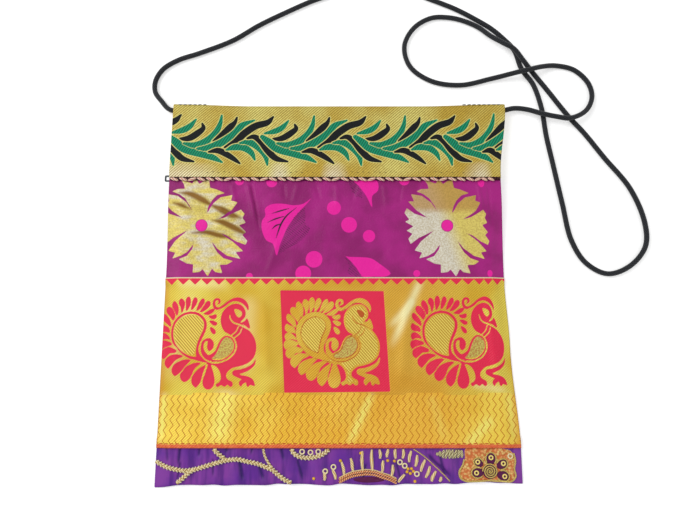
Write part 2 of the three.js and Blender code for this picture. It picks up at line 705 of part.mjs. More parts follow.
// Shoulder cord: from inside the left end of the top hem, over the surface that the bag lies on,
// round both loops and back into the right end of the hem
const cordTail = cordDiameter * 2;
const hemY = halfHeight - cordDiameter * 1.4;
const hemHeight = seamUnderside + cloth + layerGap * 2 + cordDiameter / 2;
const cordRoute = [
  [-101.6, 108.4, 3.1],
  [-107.5, 114.6, 2.1],
  [-111.8, 120.8, 1.6],
  [-112.0, 128.1, 1.6],
  [-107.6, 136.1, 1.6],
  [-98.3, 142.2, 1.6],
  [-86.0, 146.6, 1.6],
  [-65.1, 155.4, 1.6],
  [-49.1, 165.7, 1.6],
  [-32.9, 174.4, 1.6],
  [-12.2, 184.2, 1.6],
  [8.2, 190.2, 1.6],
  [26.0, 192.3, 1.6],
  [43.2, 190.2, 1.6],
  [60.2, 183.5, 1.6],
  [75.2, 176.9, 1.6],
  [89.5, 168.5, 1.6],
  [97.1, 163.3, 1.6],
  [104.1, 156.7, 1.6],
  [110.5, 149.0, 1.6],
  [114.6, 136.1, 1.6],
  [121.1, 125.7, 1.8],
  [125.5, 110.2, 1.6],
  [127.3, 92.8, 1.6],
  [130.4, 73.8, 1.6],
  [134.4, 49.6, 1.6],
  [138.4, 27.0, 1.6],
  [146.0, 13.5, 1.6],
  [158.1, 7.1, 1.6],
  [171.6, 11.7, 1.6],
  [181.7, 23.6, 1.6],
  [182.4, 38.2, 1.6],
  [175.5, 58.8, 1.6],
  [161.3, 78.5, 1.6],
  [150.5, 93.9, 1.6],
  [141.7, 104.7, 1.6],
  [129.6, 122.1, 1.6],
  [120.9, 134.0, 2.0],
  [115.0, 140.7, 4.4],
  [109.4, 147.8, 5.4],
  [103.0, 151.8, 5.3],
  [96.2, 157.3, 3.4],
  [88.6, 164.5, 1.8],
  [79.4, 169.0, 1.6],
  [70.3, 171.2, 1.6],
  [59.3, 170.8, 1.6],
  [48.4, 164.0, 1.6],
  [42.2, 151.7, 1.6],
  [45.4, 137.8, 1.6],
  [58.2, 128.1, 1.6],
  [76.1, 125.3, 1.6],
  [95.3, 129.4, 1.9],
  [105.4, 131.2, 3.9],
  [112.4, 132.3, 5.7],
  [118.9, 133.8, 6.0],
  [127.4, 136.8, 3.6],
  [136.1, 138.2, 1.8],
  [147.1, 135.4, 1.6],
  [155.2, 126.8, 1.6],
  [156.9, 117.4, 1.8],
  [152.0, 107.8, 3.4],
  [141.2, 102.0, 5.5],
  [132.9, 103.3, 5.0],
  [124.1, 105.1, 5.3],
  [116.0, 108.4, 3.6],
  [108.2, 109.3, 3.2],
  [101.6, 107.9, 3.2],
];

function shoulderCord() {
  const leftHem = bagShift - halfWidth + cordTail;
  const rightHem = bagShift + halfWidth - cordTail;
  const points = [[leftHem, hemY, hemHeight], ...cordRoute, [rightHem, hemY, hemHeight]];
  const path = new THREE.CatmullRomCurve3(points.map((point) => new THREE.Vector3(...point)));
  const section = new THREE.Shape();
  const sides = 8;
  for (let i = 0; i < sides; i += 1) {
    const angle = (2 * Math.PI * i) / sides;
    const x = (cordDiameter / 2) * Math.cos(angle);
    const y = (cordDiameter / 2) * Math.sin(angle);
    if (i === 0) section.moveTo(x, y);
    else section.lineTo(x, y);
  }
  return new THREE.ExtrudeGeometry(section, { steps: cordSteps, extrudePath: path, bevelEnabled: false });
}

addPiece("shoulder_cord", shoulderCord(), "cord", pouch);

export default pouch;
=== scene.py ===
"""A flat brocade sling pouch, dressed for rendering.

Sizes inside this file are millimetres in the frame of the part, and make_mesh turns them to metres.
"""
import math

import bpy
import numpy as np
from bpy.props import FloatProperty, FloatVectorProperty, PointerProperty
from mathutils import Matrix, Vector


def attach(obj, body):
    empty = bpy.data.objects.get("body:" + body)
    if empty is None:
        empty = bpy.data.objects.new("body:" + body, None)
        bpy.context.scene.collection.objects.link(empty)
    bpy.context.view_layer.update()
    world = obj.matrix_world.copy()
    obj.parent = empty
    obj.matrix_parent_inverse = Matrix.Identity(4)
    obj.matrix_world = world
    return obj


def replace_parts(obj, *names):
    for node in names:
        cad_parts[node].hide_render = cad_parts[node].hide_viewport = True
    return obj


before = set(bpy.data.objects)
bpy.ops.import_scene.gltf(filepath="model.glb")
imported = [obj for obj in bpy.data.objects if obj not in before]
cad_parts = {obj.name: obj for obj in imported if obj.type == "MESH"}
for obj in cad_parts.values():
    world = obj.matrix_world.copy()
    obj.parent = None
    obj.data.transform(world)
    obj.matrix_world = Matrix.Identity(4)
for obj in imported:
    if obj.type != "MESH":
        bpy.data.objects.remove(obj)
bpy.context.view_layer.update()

bl_info = {
    "name": "Brocade sling pouch",
    "version": (1, 0, 0),
    "blender": (4, 5, 0),
    "location": "3D View > Sidebar > Pouch",
    "description": "Builds the cloth, cord, zip and embroidery of a flat brocade pouch",
    "category": "Object",
}

MM = 0.001
# Value of a figure's field far outside it, in mm
OUTSIDE = -9.0
# Settings that many nodes share: a mix of two colours, and a step with soft ends
RGBA = {"data_type": "RGBA"}
SMOOTH = {"interpolation_type": "SMOOTHSTEP"}

# The pouch as part.mjs has it
BAG_X = 1.55
HALF_WIDTH = 100.5
HALF_HEIGHT = 111.75
CLOTH = 0.5
GAP = 0.3
SEAM_RIM = 9.0
FRONT_RISE = 2.3
GOLD_EDGE = HALF_HEIGHT - 48.0
MAGENTA_TOP = GOLD_EDGE + 2.0
PEACOCK_TOP = GOLD_EDGE - 59.0
MAGENTA_BOTTOM = PEACOCK_TOP - 2.0
PEACOCK_BOTTOM = PEACOCK_TOP - 95.5
PURPLE_TOP = PEACOCK_BOTTOM + 4.0
ZIP_Y = GOLD_EDGE + 0.4
SEAM_UNDERSIDE = 0.8
SECOND_UNDERSIDE = 1.6
MAGENTA_OVER_ZIP = 5.2
GOLD_OVER_ZIP = 6.0
GOLD_AT_TOP = 5.2
HEM_DEPTH = 11.0
# The border lies level for this far from both its edges before it slopes to the other height
LEVEL = 8.5
# How far the cloth that closes the sides stands in from the pouch's side
SIDE_INSET = 0.7
# Half lengths of the zip's tapes and coils, and the edges of a tape from the zip's middle
TAPE_HALF = 96.6
COIL_HALF = 93.6
TAPE_EDGES = (0.7, 9.2)
TAPE_HEIGHT = 1.65
COIL_HEIGHT = 2.5
COIL_TURNS = 125
# Pitch and length of the loops of the scalloped edge
LOOP_PITCH = 5.3
LOOP_LENGTH = 4.9


def linear(code):
    """The linear RGBA of an sRGB hex colour."""
    parts = np.array([int(code[i : i + 2], 16) for i in (1, 3, 5)]) / 255
    low = parts / 12.92
    high = ((parts + 0.055) / 1.055) ** 2.4
    return (*np.where(parts <= 0.04045, low, high).tolist(), 1.0)


def colour(name, code, description):
    """A colour property with that default."""
    return FloatVectorProperty(
        name=name, description=description, subtype="COLOR", size=4, min=0, max=1, default=linear(code)
    )


def length(name, metres, description):
    """A length property with that default."""
    return FloatProperty(
        name=name, description=description, subtype="DISTANCE", unit="LENGTH", default=metres
    )


class PouchSizes(bpy.types.PropertyGroup):
    """Sizes that a user would change."""

    cord_diameter: length("Cord diameter", 0.003, "Thickness of the round shoulder cord")
    couching: length("Couched cord", 0.0017, "Thickness of the gold cord sewn on the silk")
    sequin: length("Sequin", 0.0034, "Diameter of a sequin ring")
    twill: length("Twill pitch", 0.00125, "Pitch of the diagonal ribs of the gold brocade")
    zari_twill: length("Zari rib pitch", 0.0011, "Pitch of the ribs of the peacock border")
    zigzag: length("Zigzag pitch", 0.0036, "Distance between two zigzag lines")
    gather: length("Gather depth", 0.00045, "Half the height of the gathers of the purple silk")


class PouchColours(bpy.types.PropertyGroup):
    """Colours of the threads, foil and metal."""

    gold: colour("Gold", "#DCBC48", "Metallic weft of the leaf border")
    gold_light: colour("Light gold", "#F6EC86", "Gold ribs that catch the light")
    gold_dark: colour("Dark gold", "#96702A", "Warp between the gold ribs")
    green: colour("Leaf green", "#04604E", "Green leaves")
    green_light: colour("Light green", "#06A874", "Stripes on the green leaves")
    black: colour("Leaf black", "#0B0F13", "Black leaves")
    magenta: colour("Magenta", "#B21C86", "Satin ground of the middle band")
    pink: colour("Hot pink", "#F61AA6", "Pink weft figures")
    silver: colour("Silver gold", "#ECE6D4", "Silvery part of the flowers")
    flower: colour("Flower gold", "#EDDA72", "Golden part of the flowers")
    zari: colour("Zari", "#E8C034", "Yellow metallic weft of the peacock border")
    zari_light: colour("Light zari", "#F8E65E", "Zari that catches the light")
    zari_deep: colour("Deep zari", "#E8982A", "Zari turned from the light")
    red: colour("Red pink", "#F02850", "Red weft of the peacocks and the square")
    cream: colour("Cream", "#F3DFC0", "Edge thread of the peacock border")
    selvedge: colour("Selvedge", "#EE7A4A", "Orange lower edge of the peacock border")
    stitching: colour("Red stitching", "#C83A1E", "Stitches above the orange edge")
    purple: colour("Purple", "#6C2C9E", "Silk of the back and the lowest band")
    # Painted shade: the colour of the silk in the shade of its folds
    purple_fold_shade: colour("Dark purple", "#451B7C", "Silk in the folds")
    purple_warm: colour("Warm purple", "#883CA4", "Second colour of the shot silk")
    maroon: colour("Maroon", "#5C1149", "Petals of the patch")
    gunmetal: colour("Gunmetal", "#3A3F42", "Slider, pull and stops of the zip")
    nylon: colour("Nylon", "#2C2026", "Coils of the zip")
    tape: colour("Tape", "#43203C", "Tapes of the zip")


def put(tree, kind, inputs=None, **settings):
    """Adds a node. An input is a value, a node for its first output in use, or (node, output)."""
    node = tree.nodes.new("ShaderNode" + kind)
    for name, value in settings.items():
        setattr(node, name, value)
    for name, value in (inputs or {}).items():
        socket = node.inputs[name]
        if isinstance(value, bpy.types.Node):
            first = next(output for output in value.outputs if output.enabled)
            tree.links.new(first, socket)
        elif isinstance(value, tuple) and isinstance(value[0], bpy.types.Node):
            tree.links.new(value[0].outputs[value[1]], socket)
        else:
            socket.default_value = value
    return node


def new_material(name):
    """An empty node material and its tree."""
    material = bpy.data.materials.new(name)
    material.use_nodes = True
    material.node_tree.nodes.clear()
    return material, material.node_tree


def surface(tree, inputs, bumps=()):
    """Ends a material in one Principled BSDF. bumps are (height, depth in metres), stacked."""
    normal = None
    for height, depth in bumps:
        settings = {"Height": height, "Distance": depth, "Strength": 1.0}
        if normal is not None:
            settings["Normal"] = normal
        normal = put(tree, "Bump", settings)
    if normal is not None:
        inputs = {**inputs, "Normal": normal}
    shader = put(tree, "BsdfPrincipled", {"Specular IOR Level": 0.25, **inputs})
    put(tree, "OutputMaterial", {"Surface": shader})


def ribs(tree, pitch, angle, coordinate="Object"):
    """Parallel ribs: 0 to 1 across each rib, pitch in metres, turned by angle in degrees."""
    place = put(tree, "TexCoord")
    turned = put(
        tree, "Mapping", {"Vector": (place, coordinate), "Rotation": (0, 0, math.radians(angle))}
    )
    scale = 2 * math.pi / (20 * pitch)
    return put(
        tree,
        "TexWave",
        {"Vector": turned, "Scale": scale, "Distortion": 0.0},
        wave_type="BANDS",
        bands_direction="X",
        wave_profile="SIN",
    )


def clouds(tree, size, detail=2.0, low=0.35, high=0.65, stretch=(1, 1, 1)):
    """Soft patches about as large as size in metres, from 0 to 1."""
    place = put(tree, "TexCoord")
    turned = put(tree, "Mapping", {"Vector": (place, "Object"), "Scale": stretch})
    noise = put(tree, "TexNoise", {"Vector": turned, "Scale": 1 / size, "Detail": detail})
    return put(tree, "MapRange", {"Value": (noise, "Fac"), "From Min": low, "From Max": high}, **SMOOTH)


def woven(tree, ground, figures):
    """Lays coloured figures on a ground. Each is (field, colour, softness in mm)."""
    for name, tone, soft in figures:
        field = put(tree, "Attribute", attribute_name=name)
        edge = put(
            tree, "MapRange", {"Value": (field, "Fac"), "From Min": -soft, "From Max": soft}, **SMOOTH
        )
        ground = put(tree, "Mix", {0: edge, 6: ground, 7: tone}, **RGBA)
    return ground


def make_mesh(name, points, face_sets, uv=None, fields=None):
    """A mesh object from points in mm and arrays of faces. uv and fields hold a value per point."""
    mesh = bpy.data.meshes.new(name)
    mesh.vertices.add(len(points))
    mesh.vertices.foreach_set("co", (np.asarray(points) * MM).astype(np.float32).ravel())
    counts = np.concatenate([np.full(len(f), f.shape[1]) for f in face_sets])
    corners = np.concatenate([f.ravel() for f in face_sets]).astype(np.int32)
    starts = np.concatenate([[0], np.cumsum(counts)[:-1]]).astype(np.int32)
    mesh.loops.add(len(corners))
    mesh.loops.foreach_set("vertex_index", corners)
    mesh.polygons.add(len(counts))
    mesh.polygons.foreach_set("loop_start", starts)
    mesh.polygons.foreach_set("use_smooth", np.full(len(counts), True))
    mesh.update(calc_edges=True)
    if uv is not None:
        layer = mesh.uv_layers.new(name="UVMap")
        spread = (np.asarray(uv) * MM)[corners]
        layer.data.foreach_set("uv", spread.astype(np.float32).ravel())
    for field, values in (fields or {}).items():
        attribute = mesh.attributes.new(field, "FLOAT", "POINT")
        attribute.data.foreach_set("value", np.asarray(values, np.float32).ravel())
    mesh.validate()
    thing = bpy.data.objects.new(name, mesh)
    bpy.context.scene.collection.objects.link(thing)
    return thing


def unit(vectors):
    """Vectors scaled to length one."""
    size = np.linalg.norm(vectors, axis=-1, keepdims=True)
    return vectors / np.maximum(size, 1e-12)


def quads(a, b, c, d):
    """Four equal index arrays as rows of quads."""
    return np.stack([a.ravel(), b.ravel(), c.ravel(), d.ravel()], axis=1)


def cloth_mesh(name, middle, thickness, fields=None):
    """A closed sheet: the middle surface, a grid of rows by columns, moved half the thickness
    along its normal to each side, with the rims closed. UV is the grid's run in mm."""
    rows, columns = middle.shape[:2]
    across = np.gradient(middle, axis=1)
    along = np.gradient(middle, axis=0)
    normal = unit(np.cross(across, along))
    front = middle + normal * thickness / 2
    back = middle - normal * thickness / 2
    points = np.concatenate([front.reshape(-1, 3), back.reshape(-1, 3)])
    index = np.arange(rows * columns).reshape(rows, columns)
    a, b, c, d = index[:-1, :-1], index[:-1, 1:], index[1:, 1:], index[1:, :-1]
    shift = rows * columns
    faces = [quads(a, b, c, d), quads(a + shift, d + shift, c + shift, b + shift)]
    ring = np.concatenate([index[0, :-1], index[:-1, -1], index[-1, :0:-1], index[:0:-1, 0]])
    after = np.roll(ring, -1)
    faces.append(quads(ring, ring + shift, after + shift, after))
    u_steps = np.linalg.norm(np.diff(middle, axis=1), axis=2)
    v_steps = np.linalg.norm(np.diff(middle, axis=0), axis=2)
    u = np.concatenate([np.zeros((rows, 1)), np.cumsum(u_steps, 1)], 1)
    v = np.concatenate([np.zeros((1, columns)), np.cumsum(v_steps, 0)], 0)
    uv = np.stack([u, v], axis=-1).reshape(-1, 2)
    both = {key: np.tile(value.ravel(), 2) for key, value in (fields or {}).items()}
    return make_mesh(name, points, faces, uv=np.tile(uv, (2, 1)), fields=both)


def smooth_line(rows, per_span, axes=2):
    """A centripetal Catmull-Rom line through the rows. The first axes numbers of a row are its
    place, and the others are carried along."""
    given = np.asarray(rows, float)
    p = np.concatenate([[2 * given[0] - given[1]], given, [2 * given[-1] - given[-2]]])
    p0, p1, p2, p3 = p[:-3], p[1:-2], p[2:-1], p[3:]
    step = np.maximum(np.linalg.norm(np.diff(p[:, :axes], axis=0), axis=1), 1e-4) ** 0.5
    d0, d1, d2 = step[:-2, None], step[1:-1, None], step[2:, None]
    m1 = ((p1 - p0) / d0 - (p2 - p0) / (d0 + d1) + (p2 - p1) / d1) * d1
    m2 = ((p2 - p1) / d1 - (p3 - p1) / (d1 + d2) + (p3 - p2) / d2) * d1
    t = (np.arange(per_span) / per_span)[None, :, None]
    a, b, m, n = p1[:, None], p2[:, None], m1[:, None], m2[:, None]
    line = (
        (2 * t**3 - 3 * t**2 + 1) * a
        + (t**3 - 2 * t**2 + t) * m
        + (-2 * t**3 + 3 * t**2) * b
        + (t**3 - t**2) * n
    )
    return np.concatenate([line.reshape(-1, given.shape[1]), given[-1:]])


def run_along(line):
    """How far along the line each of its points lies."""
    steps = np.linalg.norm(np.diff(line[:, :3], axis=0), axis=1)
    return np.concatenate([[0], np.cumsum(steps)])


def even_line(points, spacing):
    """The line resampled at even steps."""
    run = run_along(points)
    places = np.linspace(0, run[-1], max(2, int(round(run[-1] / spacing)) + 1))
    return np.stack([np.interp(places, run, points[:, k]) for k in range(points.shape[1])], 1)


def tube_points(path, radius, sides, lobes=0, pitch=1.0, depth=0.0, flat=1.0):
    """Rings round a path: each point is radius from it, less a groove between lobes strands that
    turn once every pitch. flat scales the height. Returns points, faces, uv and the field ply,
    which is 1 on the crown of a strand and 0 between two strands."""
    path = np.asarray(path, float)
    ahead = unit(np.gradient(path, axis=0))
    side = unit(np.cross(ahead, np.broadcast_to([0.0, 0.0, 1.0], ahead.shape)))
    above = np.cross(side, ahead)
    run = run_along(path)
    angle = 2 * np.pi * np.arange(sides) / sides
    size = np.broadcast_to(np.asarray(radius, float), (len(path),))[:, None]
    turn = angle[None, :] - 2 * np.pi * run[:, None] / pitch
    crown = 1 - np.abs(np.sin(lobes * turn / 2))
    r = size * (1 - depth * (1 - crown))
    points = (
        path[:, None]
        + (r * np.cos(angle))[..., None] * side[:, None]
        + (r * np.sin(angle) * flat)[..., None] * above[:, None]
    )
    rings = len(path)
    index = np.arange(rings * sides).reshape(rings, sides)
    nxt = np.roll(index, -1, axis=1)
    faces = [quads(index[:-1], nxt[:-1], nxt[1:], index[1:])]
    start = rings * sides
    points = np.concatenate([points.reshape(-1, 3), path[:1], path[-1:]])
    faces.append(np.stack([nxt[0], index[0], np.full(sides, start)], 1))
    faces.append(np.stack([index[-1], nxt[-1], np.full(sides, start + 1)], 1))
    uv = np.stack([np.broadcast_to(angle * 1.5, (rings, sides)).ravel(), np.repeat(run, sides)], 1)
    uv = np.concatenate([uv, [[0, 0]], [[0, run[-1]]]])
    return points, faces, uv, {"ply": np.concatenate([crown.ravel(), [0.5, 0.5]])}


def join(parts):
    """Several (points, faces, uv, fields) as one."""
    points, sets, uvs, plies, start = [], [], [], [], 0
    for p, faces, uv, fields in parts:
        points.append(p)
        sets.extend(f + start for f in faces)
        uvs.append(uv)
        plies.append(fields["ply"])
        start += len(p)
    return np.concatenate(points), sets, np.concatenate(uvs), {"ply": np.concatenate(plies)}


def box_near(x, y, points, margin):
    """Which places lie within margin of the box round the points."""
    low, high = points[:, :2].min(0) - margin, points[:, :2].max(0) + margin
    return (x > low[0]) & (x < high[0]) & (y > low[1]) & (y < high[1])


def to_segment(px, py, ax, ay, bx, by):
    """Distance to the segment from a to b, and the nearest point's share of its length."""
    dx, dy = bx - ax, by - ay
    t = np.clip(((px - ax) * dx + (py - ay) * dy) / max(dx * dx + dy * dy, 1e-9), 0, 1)
    return np.hypot(px - ax - t * dx, py - ay - t * dy), t


def stroke(x, y, rows, per_span=6):
    """Signed distance in mm, positive inside, of a smooth line of changing half width."""
    line = smooth_line(rows, per_span)
    field = np.full(x.shape, OUTSIDE)
    near = box_near(x, y, line, line[:, 2].max() + 3)
    px, py = x[near], y[near]
    best = np.full(px.shape, OUTSIDE)
    for (ax, ay, aw), (bx, by, bw) in zip(line[:-1], line[1:]):
        away, t = to_segment(px, py, ax, ay, bx, by)
        best = np.maximum(best, aw + (bw - aw) * t - away)
    field[near] = best
    return field


def patch(x, y, corners, per_span=5):
    """Signed distance in mm, positive inside, of a closed outline; per_span 1 keeps it straight."""
    outline = np.asarray(corners, float)
    if per_span > 1:
        count = len(outline)
        wrapped = np.concatenate([outline[-2:], outline, outline[:2]])
        line = smooth_line(wrapped, per_span)
        outline = line[2 * per_span : (count + 2) * per_span]
    field = np.full(x.shape, OUTSIDE)
    near = box_near(x, y, outline, 3)
    px, py = x[near], y[near]
    inside = np.zeros(px.shape, bool)
    distance = np.full(px.shape, 99.0)
    for (ax, ay), (bx, by) in zip(outline, np.roll(outline, -1, axis=0)):
        distance = np.minimum(distance, to_segment(px, py, ax, ay, bx, by)[0])
        if ay != by:
            inside ^= ((ay > py) != (by > py)) & (px < (bx - ax) * (py - ay) / (by - ay) + ax)
    field[near] = np.where(inside, distance, -distance)
    return field


def blank(x, *names):
    """Empty fields for the places x: far outside every figure."""
    return {name: np.full(x.shape, OUTSIDE) for name in names}


def add(fields, name, figure):
    """Adds a figure to the field of that name."""
    fields[name] = np.maximum(fields[name], figure)


def moved(rows, offset, scale=(1.0, 1.0)):
    """Rows of x, y and perhaps a half width, scaled and then moved."""
    table = np.array(rows, float)
    table[:, 0] = table[:, 0] * scale[0] + offset[0]
    table[:, 1] = table[:, 1] * scale[1] + offset[1]
    return table


def ease(t):
    """Smooth step from 0 to 1."""
    k = np.clip(t, 0, 1)
    return k * k * (3 - 2 * k)


def through(stations, place):
    """Height along a line of (place, height) stations, eased from each to the next."""
    height = np.full(np.shape(place), stations[0][1], float)
    for (p0, h0), (p1, h1) in zip(stations[:-1], stations[1:]):
        height = height + (h1 - h0) * ease((place - p0) / (p1 - p0))
    return height


def rise_from_seam(x):
    """0 at the side seams, 1 over the flat middle."""
    return ease((HALF_WIDTH - np.abs(x - BAG_X)) / SEAM_RIM)


def drawn_in(x, y):
    """How far the right edge is drawn in at each height: most at the zip."""
    pull = through([(-92, -0.8), (-35, 2.6), (5, 4.3), (45, 4.4), (66, 4.6), (108, 0.0)], y)
    return pull * ease((x - 78) / 24)


def laid(x, y, height, up=0.0):
    """Places of a cloth's middle: drawn in at the right, and moved up by up."""
    return np.stack([x - drawn_in(x, y), y + up, height], axis=-1)


def ripple(x, y, seed, size):
    """Slow swells of cloth between -1 and 1: four sine waves of about that length in mm."""
    random = np.random.default_rng(seed)
    total = np.zeros(np.shape(x))
    for _ in range(4):
        heading, phase = random.uniform(0, np.pi), random.uniform(0, 2 * np.pi)
        wave = size * random.uniform(0.7, 1.5)
        run = x * np.cos(heading) + y * np.sin(heading)
        total = total + 0.25 * np.sin(2 * np.pi * run / wave + phase)
    return total


def creases(x, y, rows):
    """Sum of folds. A row is (x0, y0, x1, y1, width, depth): a ridge, or a groove where depth is
    negative, along the line between the two points, fading out at its ends."""
    total = np.zeros(np.shape(x))
    for x0, y0, x1, y1, width, depth in rows:
        run = math.hypot(x1 - x0, y1 - y0)
        ux, uy = (x1 - x0) / run, (y1 - y0) / run
        along = ((x - x0) * ux + (y - y0) * uy) / run
        off = (x - x0) * -uy + (y - y0) * ux
        fade = ease(along / 0.2 + 0.2) * ease((1 - along) / 0.35 + 0.1)
        total = total + depth * fade * np.exp(-((off / width) ** 2))
    return total


def grid(low, high, step):
    """Even places from low to high, about step apart."""
    return np.linspace(low, high, int(round((high - low) / step)) + 1)


def across_pouch(step):
    """Even places from the left side of the pouch to the right, about step apart."""
    return grid(BAG_X - HALF_WIDTH, BAG_X + HALF_WIDTH, step)


def centripetal(points, spacing):
    """A line in space through the points, resampled at even steps."""
    return even_line(smooth_line(points, 24, axes=3), spacing)


def front_height(x, y, middle, seam):
    """Middle height of a flat front band: one line of heights over the middle, one at the seams."""
    rise = rise_from_seam(x)
    return CLOTH / 2 + rise * through(middle, y) + (1 - rise) * through(seam, y)


def purple_shape(x, s, y):
    """Height that the gathers and folds add to the purple silk at length s and place y."""
    gather = bpy.context.scene.pouch_sizes.gather / MM
    wave = np.sin(2 * np.pi * x / 14 + 1.3 * np.sin(x / 17))
    small = np.sin(3.1 * np.pi * x / 14 + 2.1)
    rise = rise_from_seam(x)
    folds = creases(x, y, PURPLE_FOLDS)
    front = ease((s - PURPLE_BACK_RUN) / (np.pi * PURPLE_RADIUS))
    up = (gather * (0.7 * wave + 0.3 * small) + folds) * rise
    return front * (up - (1 - rise) * (2 * PURPLE_RADIUS - CLOTH - GAP))


def bottom_edge(x, y):
    """How far the turned edge is drawn up towards the band between the two corners."""
    inward = ease((HALF_WIDTH - np.abs(x - BAG_X)) / 22)
    wavy = 0.4 * np.sin(x / 7.3 + 1.5 * np.sin(x / 19.0)) + 0.22 * np.sin(x / 2.9 + np.sin(x / 5.0))
    right = through([(60, 0.0), (95, 2.0)], x)
    return ((1.6 + wavy) * inward + right) * ease((-95 - y) / 14)


PURPLE_RADIUS = FRONT_RISE / 2 - CLOTH / 4
PURPLE_TURN_Y = -HALF_HEIGHT + PURPLE_RADIUS + CLOTH / 2
PURPLE_BACK_EDGE = HALF_HEIGHT - 1
PURPLE_BACK_RUN = PURPLE_BACK_EDGE - PURPLE_TURN_Y


def purple_top(x, y):
    """Height of the upper side of the silk on the front."""
    s = PURPLE_BACK_RUN + np.pi * PURPLE_RADIUS + (y - PURPLE_TURN_Y)
    flat = CLOTH / 2 + 2 * PURPLE_RADIUS
    return flat + purple_shape(x, s, y) + CLOTH / 2


def peacock_height(x, y):
    """Middle height of the peacock border, with slow swells and folds."""
    middle = [
        (PURPLE_TOP, 3.3), (PURPLE_TOP + 8, FRONT_RISE),
        (MAGENTA_BOTTOM - 8, FRONT_RISE), (MAGENTA_BOTTOM, 3.1),
    ]
    seam = [
        (PURPLE_TOP, SECOND_UNDERSIDE), (PURPLE_TOP + 4, SEAM_UNDERSIDE),
        (MAGENTA_BOTTOM - 4, SEAM_UNDERSIDE), (MAGENTA_BOTTOM, SECOND_UNDERSIDE),
    ]
    away = ease((y - PURPLE_TOP - 3) / 14) * ease((MAGENTA_BOTTOM - 3 - y) / 14)
    swell = 0.55 * ripple(x, y, 4, 34) + 0.25 * ripple(x, y, 8, 13)
    folds = creases(x, y, PEACOCK_FOLDS)
    return front_height(x, y, middle, seam) + rise_from_seam(x) * away * (swell + folds)


def magenta_height(x, y):
    """Middle height of the magenta band, with its creases."""
    mouth = ZIP_Y - 4.0
    middle = [(PEACOCK_TOP, FRONT_RISE), (mouth, MAGENTA_OVER_ZIP)]
    seam = [(PEACOCK_TOP + 4, SEAM_UNDERSIDE), (mouth, MAGENTA_OVER_ZIP)]
    away = ease((y - PEACOCK_TOP - 2) / 10) * ease((mouth - 2 - y) / 10)
    pucker = ease((mouth + 1 - y) / 3) * ease((y - PEACOCK_TOP) / 6)
    swell = 0.35 * ripple(x, y, 11, 30) + 0.2 * ripple(x, y, 15, 12)
    folds = creases(x, y, MAGENTA_FOLDS)
    rise = rise_from_seam(x)
    return front_height(x, y, middle, seam) + rise * (away * swell + pucker * folds)


PURPLE_FOLDS = [
    (-85.6, -86, -86.2, -101, 0.8, -0.75), (-74.9, -87, -75.2, -96, 0.7, -0.55),
    (-85.0, -98, -86.5, -110, 0.7, -0.5), (-67.3, -96, -66.8, -108, 0.6, -0.5),
    (-52.6, -97, -50.5, -110, 0.9, -0.8), (-42.2, -99, -39.0, -109, 0.8, -0.65),
    (-60.5, -86, -60.0, -94, 0.8, -0.5), (-45.5, -86, -46.5, -95, 0.7, -0.5),
    (-31.0, -87, -28.0, -98, 0.9, -0.6), (-21.0, -96, -17.5, -110, 0.8, -0.7),
    (-8.5, -87, -10.5, -97, 0.8, -0.55), (3.0, -97, 5.5, -110, 0.8, -0.6),
    (17.0, -99, 15.0, -110, 0.7, -0.55), (33.5, -98, 36.0, -110, 0.8, -0.55),
    (50.6, -93.5, 64.5, -109, 1.0, -0.6), (57.5, -93, 60.5, -109, 0.9, -0.6),
    (-93.5, -88, -92.0, -99, 0.8, -0.4),
]
# Streaks of painted highlight on the zari border, given as rows of creases
SHINE = [
    (50, 5, 31, -37, 2.2, 1.0), (45, -8, 30, -25, 2.0, 0.8), (21, -60, 6, -92, 2.4, 0.7),
    (88, -74, 70, -92, 3.0, 0.7), (-60, -58, -66, -92, 6.5, 0.75), (-96, -60, -97, -92, 2.0, 0.8),
    (98, -60, 99, -90, 2.5, 0.5), (-92, 2, -60, 1, 3.5, 0.6), (-82, -2, -95, -58, 5.0, 0.35),
    (-50, -5, -52, -55, 5.0, 0.45), (76, -56, 99, -60, 2.2, 0.5), (53, -61, 62, -90, 3.0, 0.25),
]
PEACOCK_FOLDS = [
    (42, 1, 37, -58, 3.2, 0.7), (47, 0, 44, -50, 2.0, -0.5), (-42, -4, -38, -60, 3.0, 0.5),
    (88, -2, 93, -60, 2.5, 0.6), (-90, -10, -93, -70, 2.4, 0.5), (-60, -58, -20, -66, 3.0, 0.3),
]
MAGENTA_FOLDS = [
    (-50.8, 62.5, -44.5, 31.0, 0.75, -1.0), (-53.0, 62.5, -47.0, 36.0, 1.1, 0.9),
    (-31.5, 62, -30.0, 50, 1.2, -0.5), (-22, 62, -26, 47, 1.5, 0.5), (-13, 62, -9, 50, 1.2, -0.5),
    (0, 62, 1, 46, 1.6, 0.5), (12, 62, 9, 48, 1.3, -0.5), (28, 62, 30, 44, 1.4, 0.5),
    (39, 62, 37, 48, 1.2, -0.45), (52, 62, 49, 52, 1.2, 0.4), (84, 62, 88, 45, 1.4, 0.5),
    (93, 60, 95, 30, 1.5, -0.4), (-62, 62, -59, 46, 1.3, 0.4), (-40, 6, -33, 28, 1.8, 0.4),
    (-93, 51, -68, 44, 1.6, 0.7), (-93, 47, -70, 40, 1.3, -0.6), (-70, 46, -53, 37, 1.5, 0.7),
    (-71, 41, -51, 33, 1.4, -0.7), (-72, 36, -52, 29, 1.5, 0.6), (-80, 31, -58, 26, 1.4, -0.5),
    (70, 8, 60, 24, 2.0, 0.35), (24, 7, 35, 25, 2.2, 0.35),
]


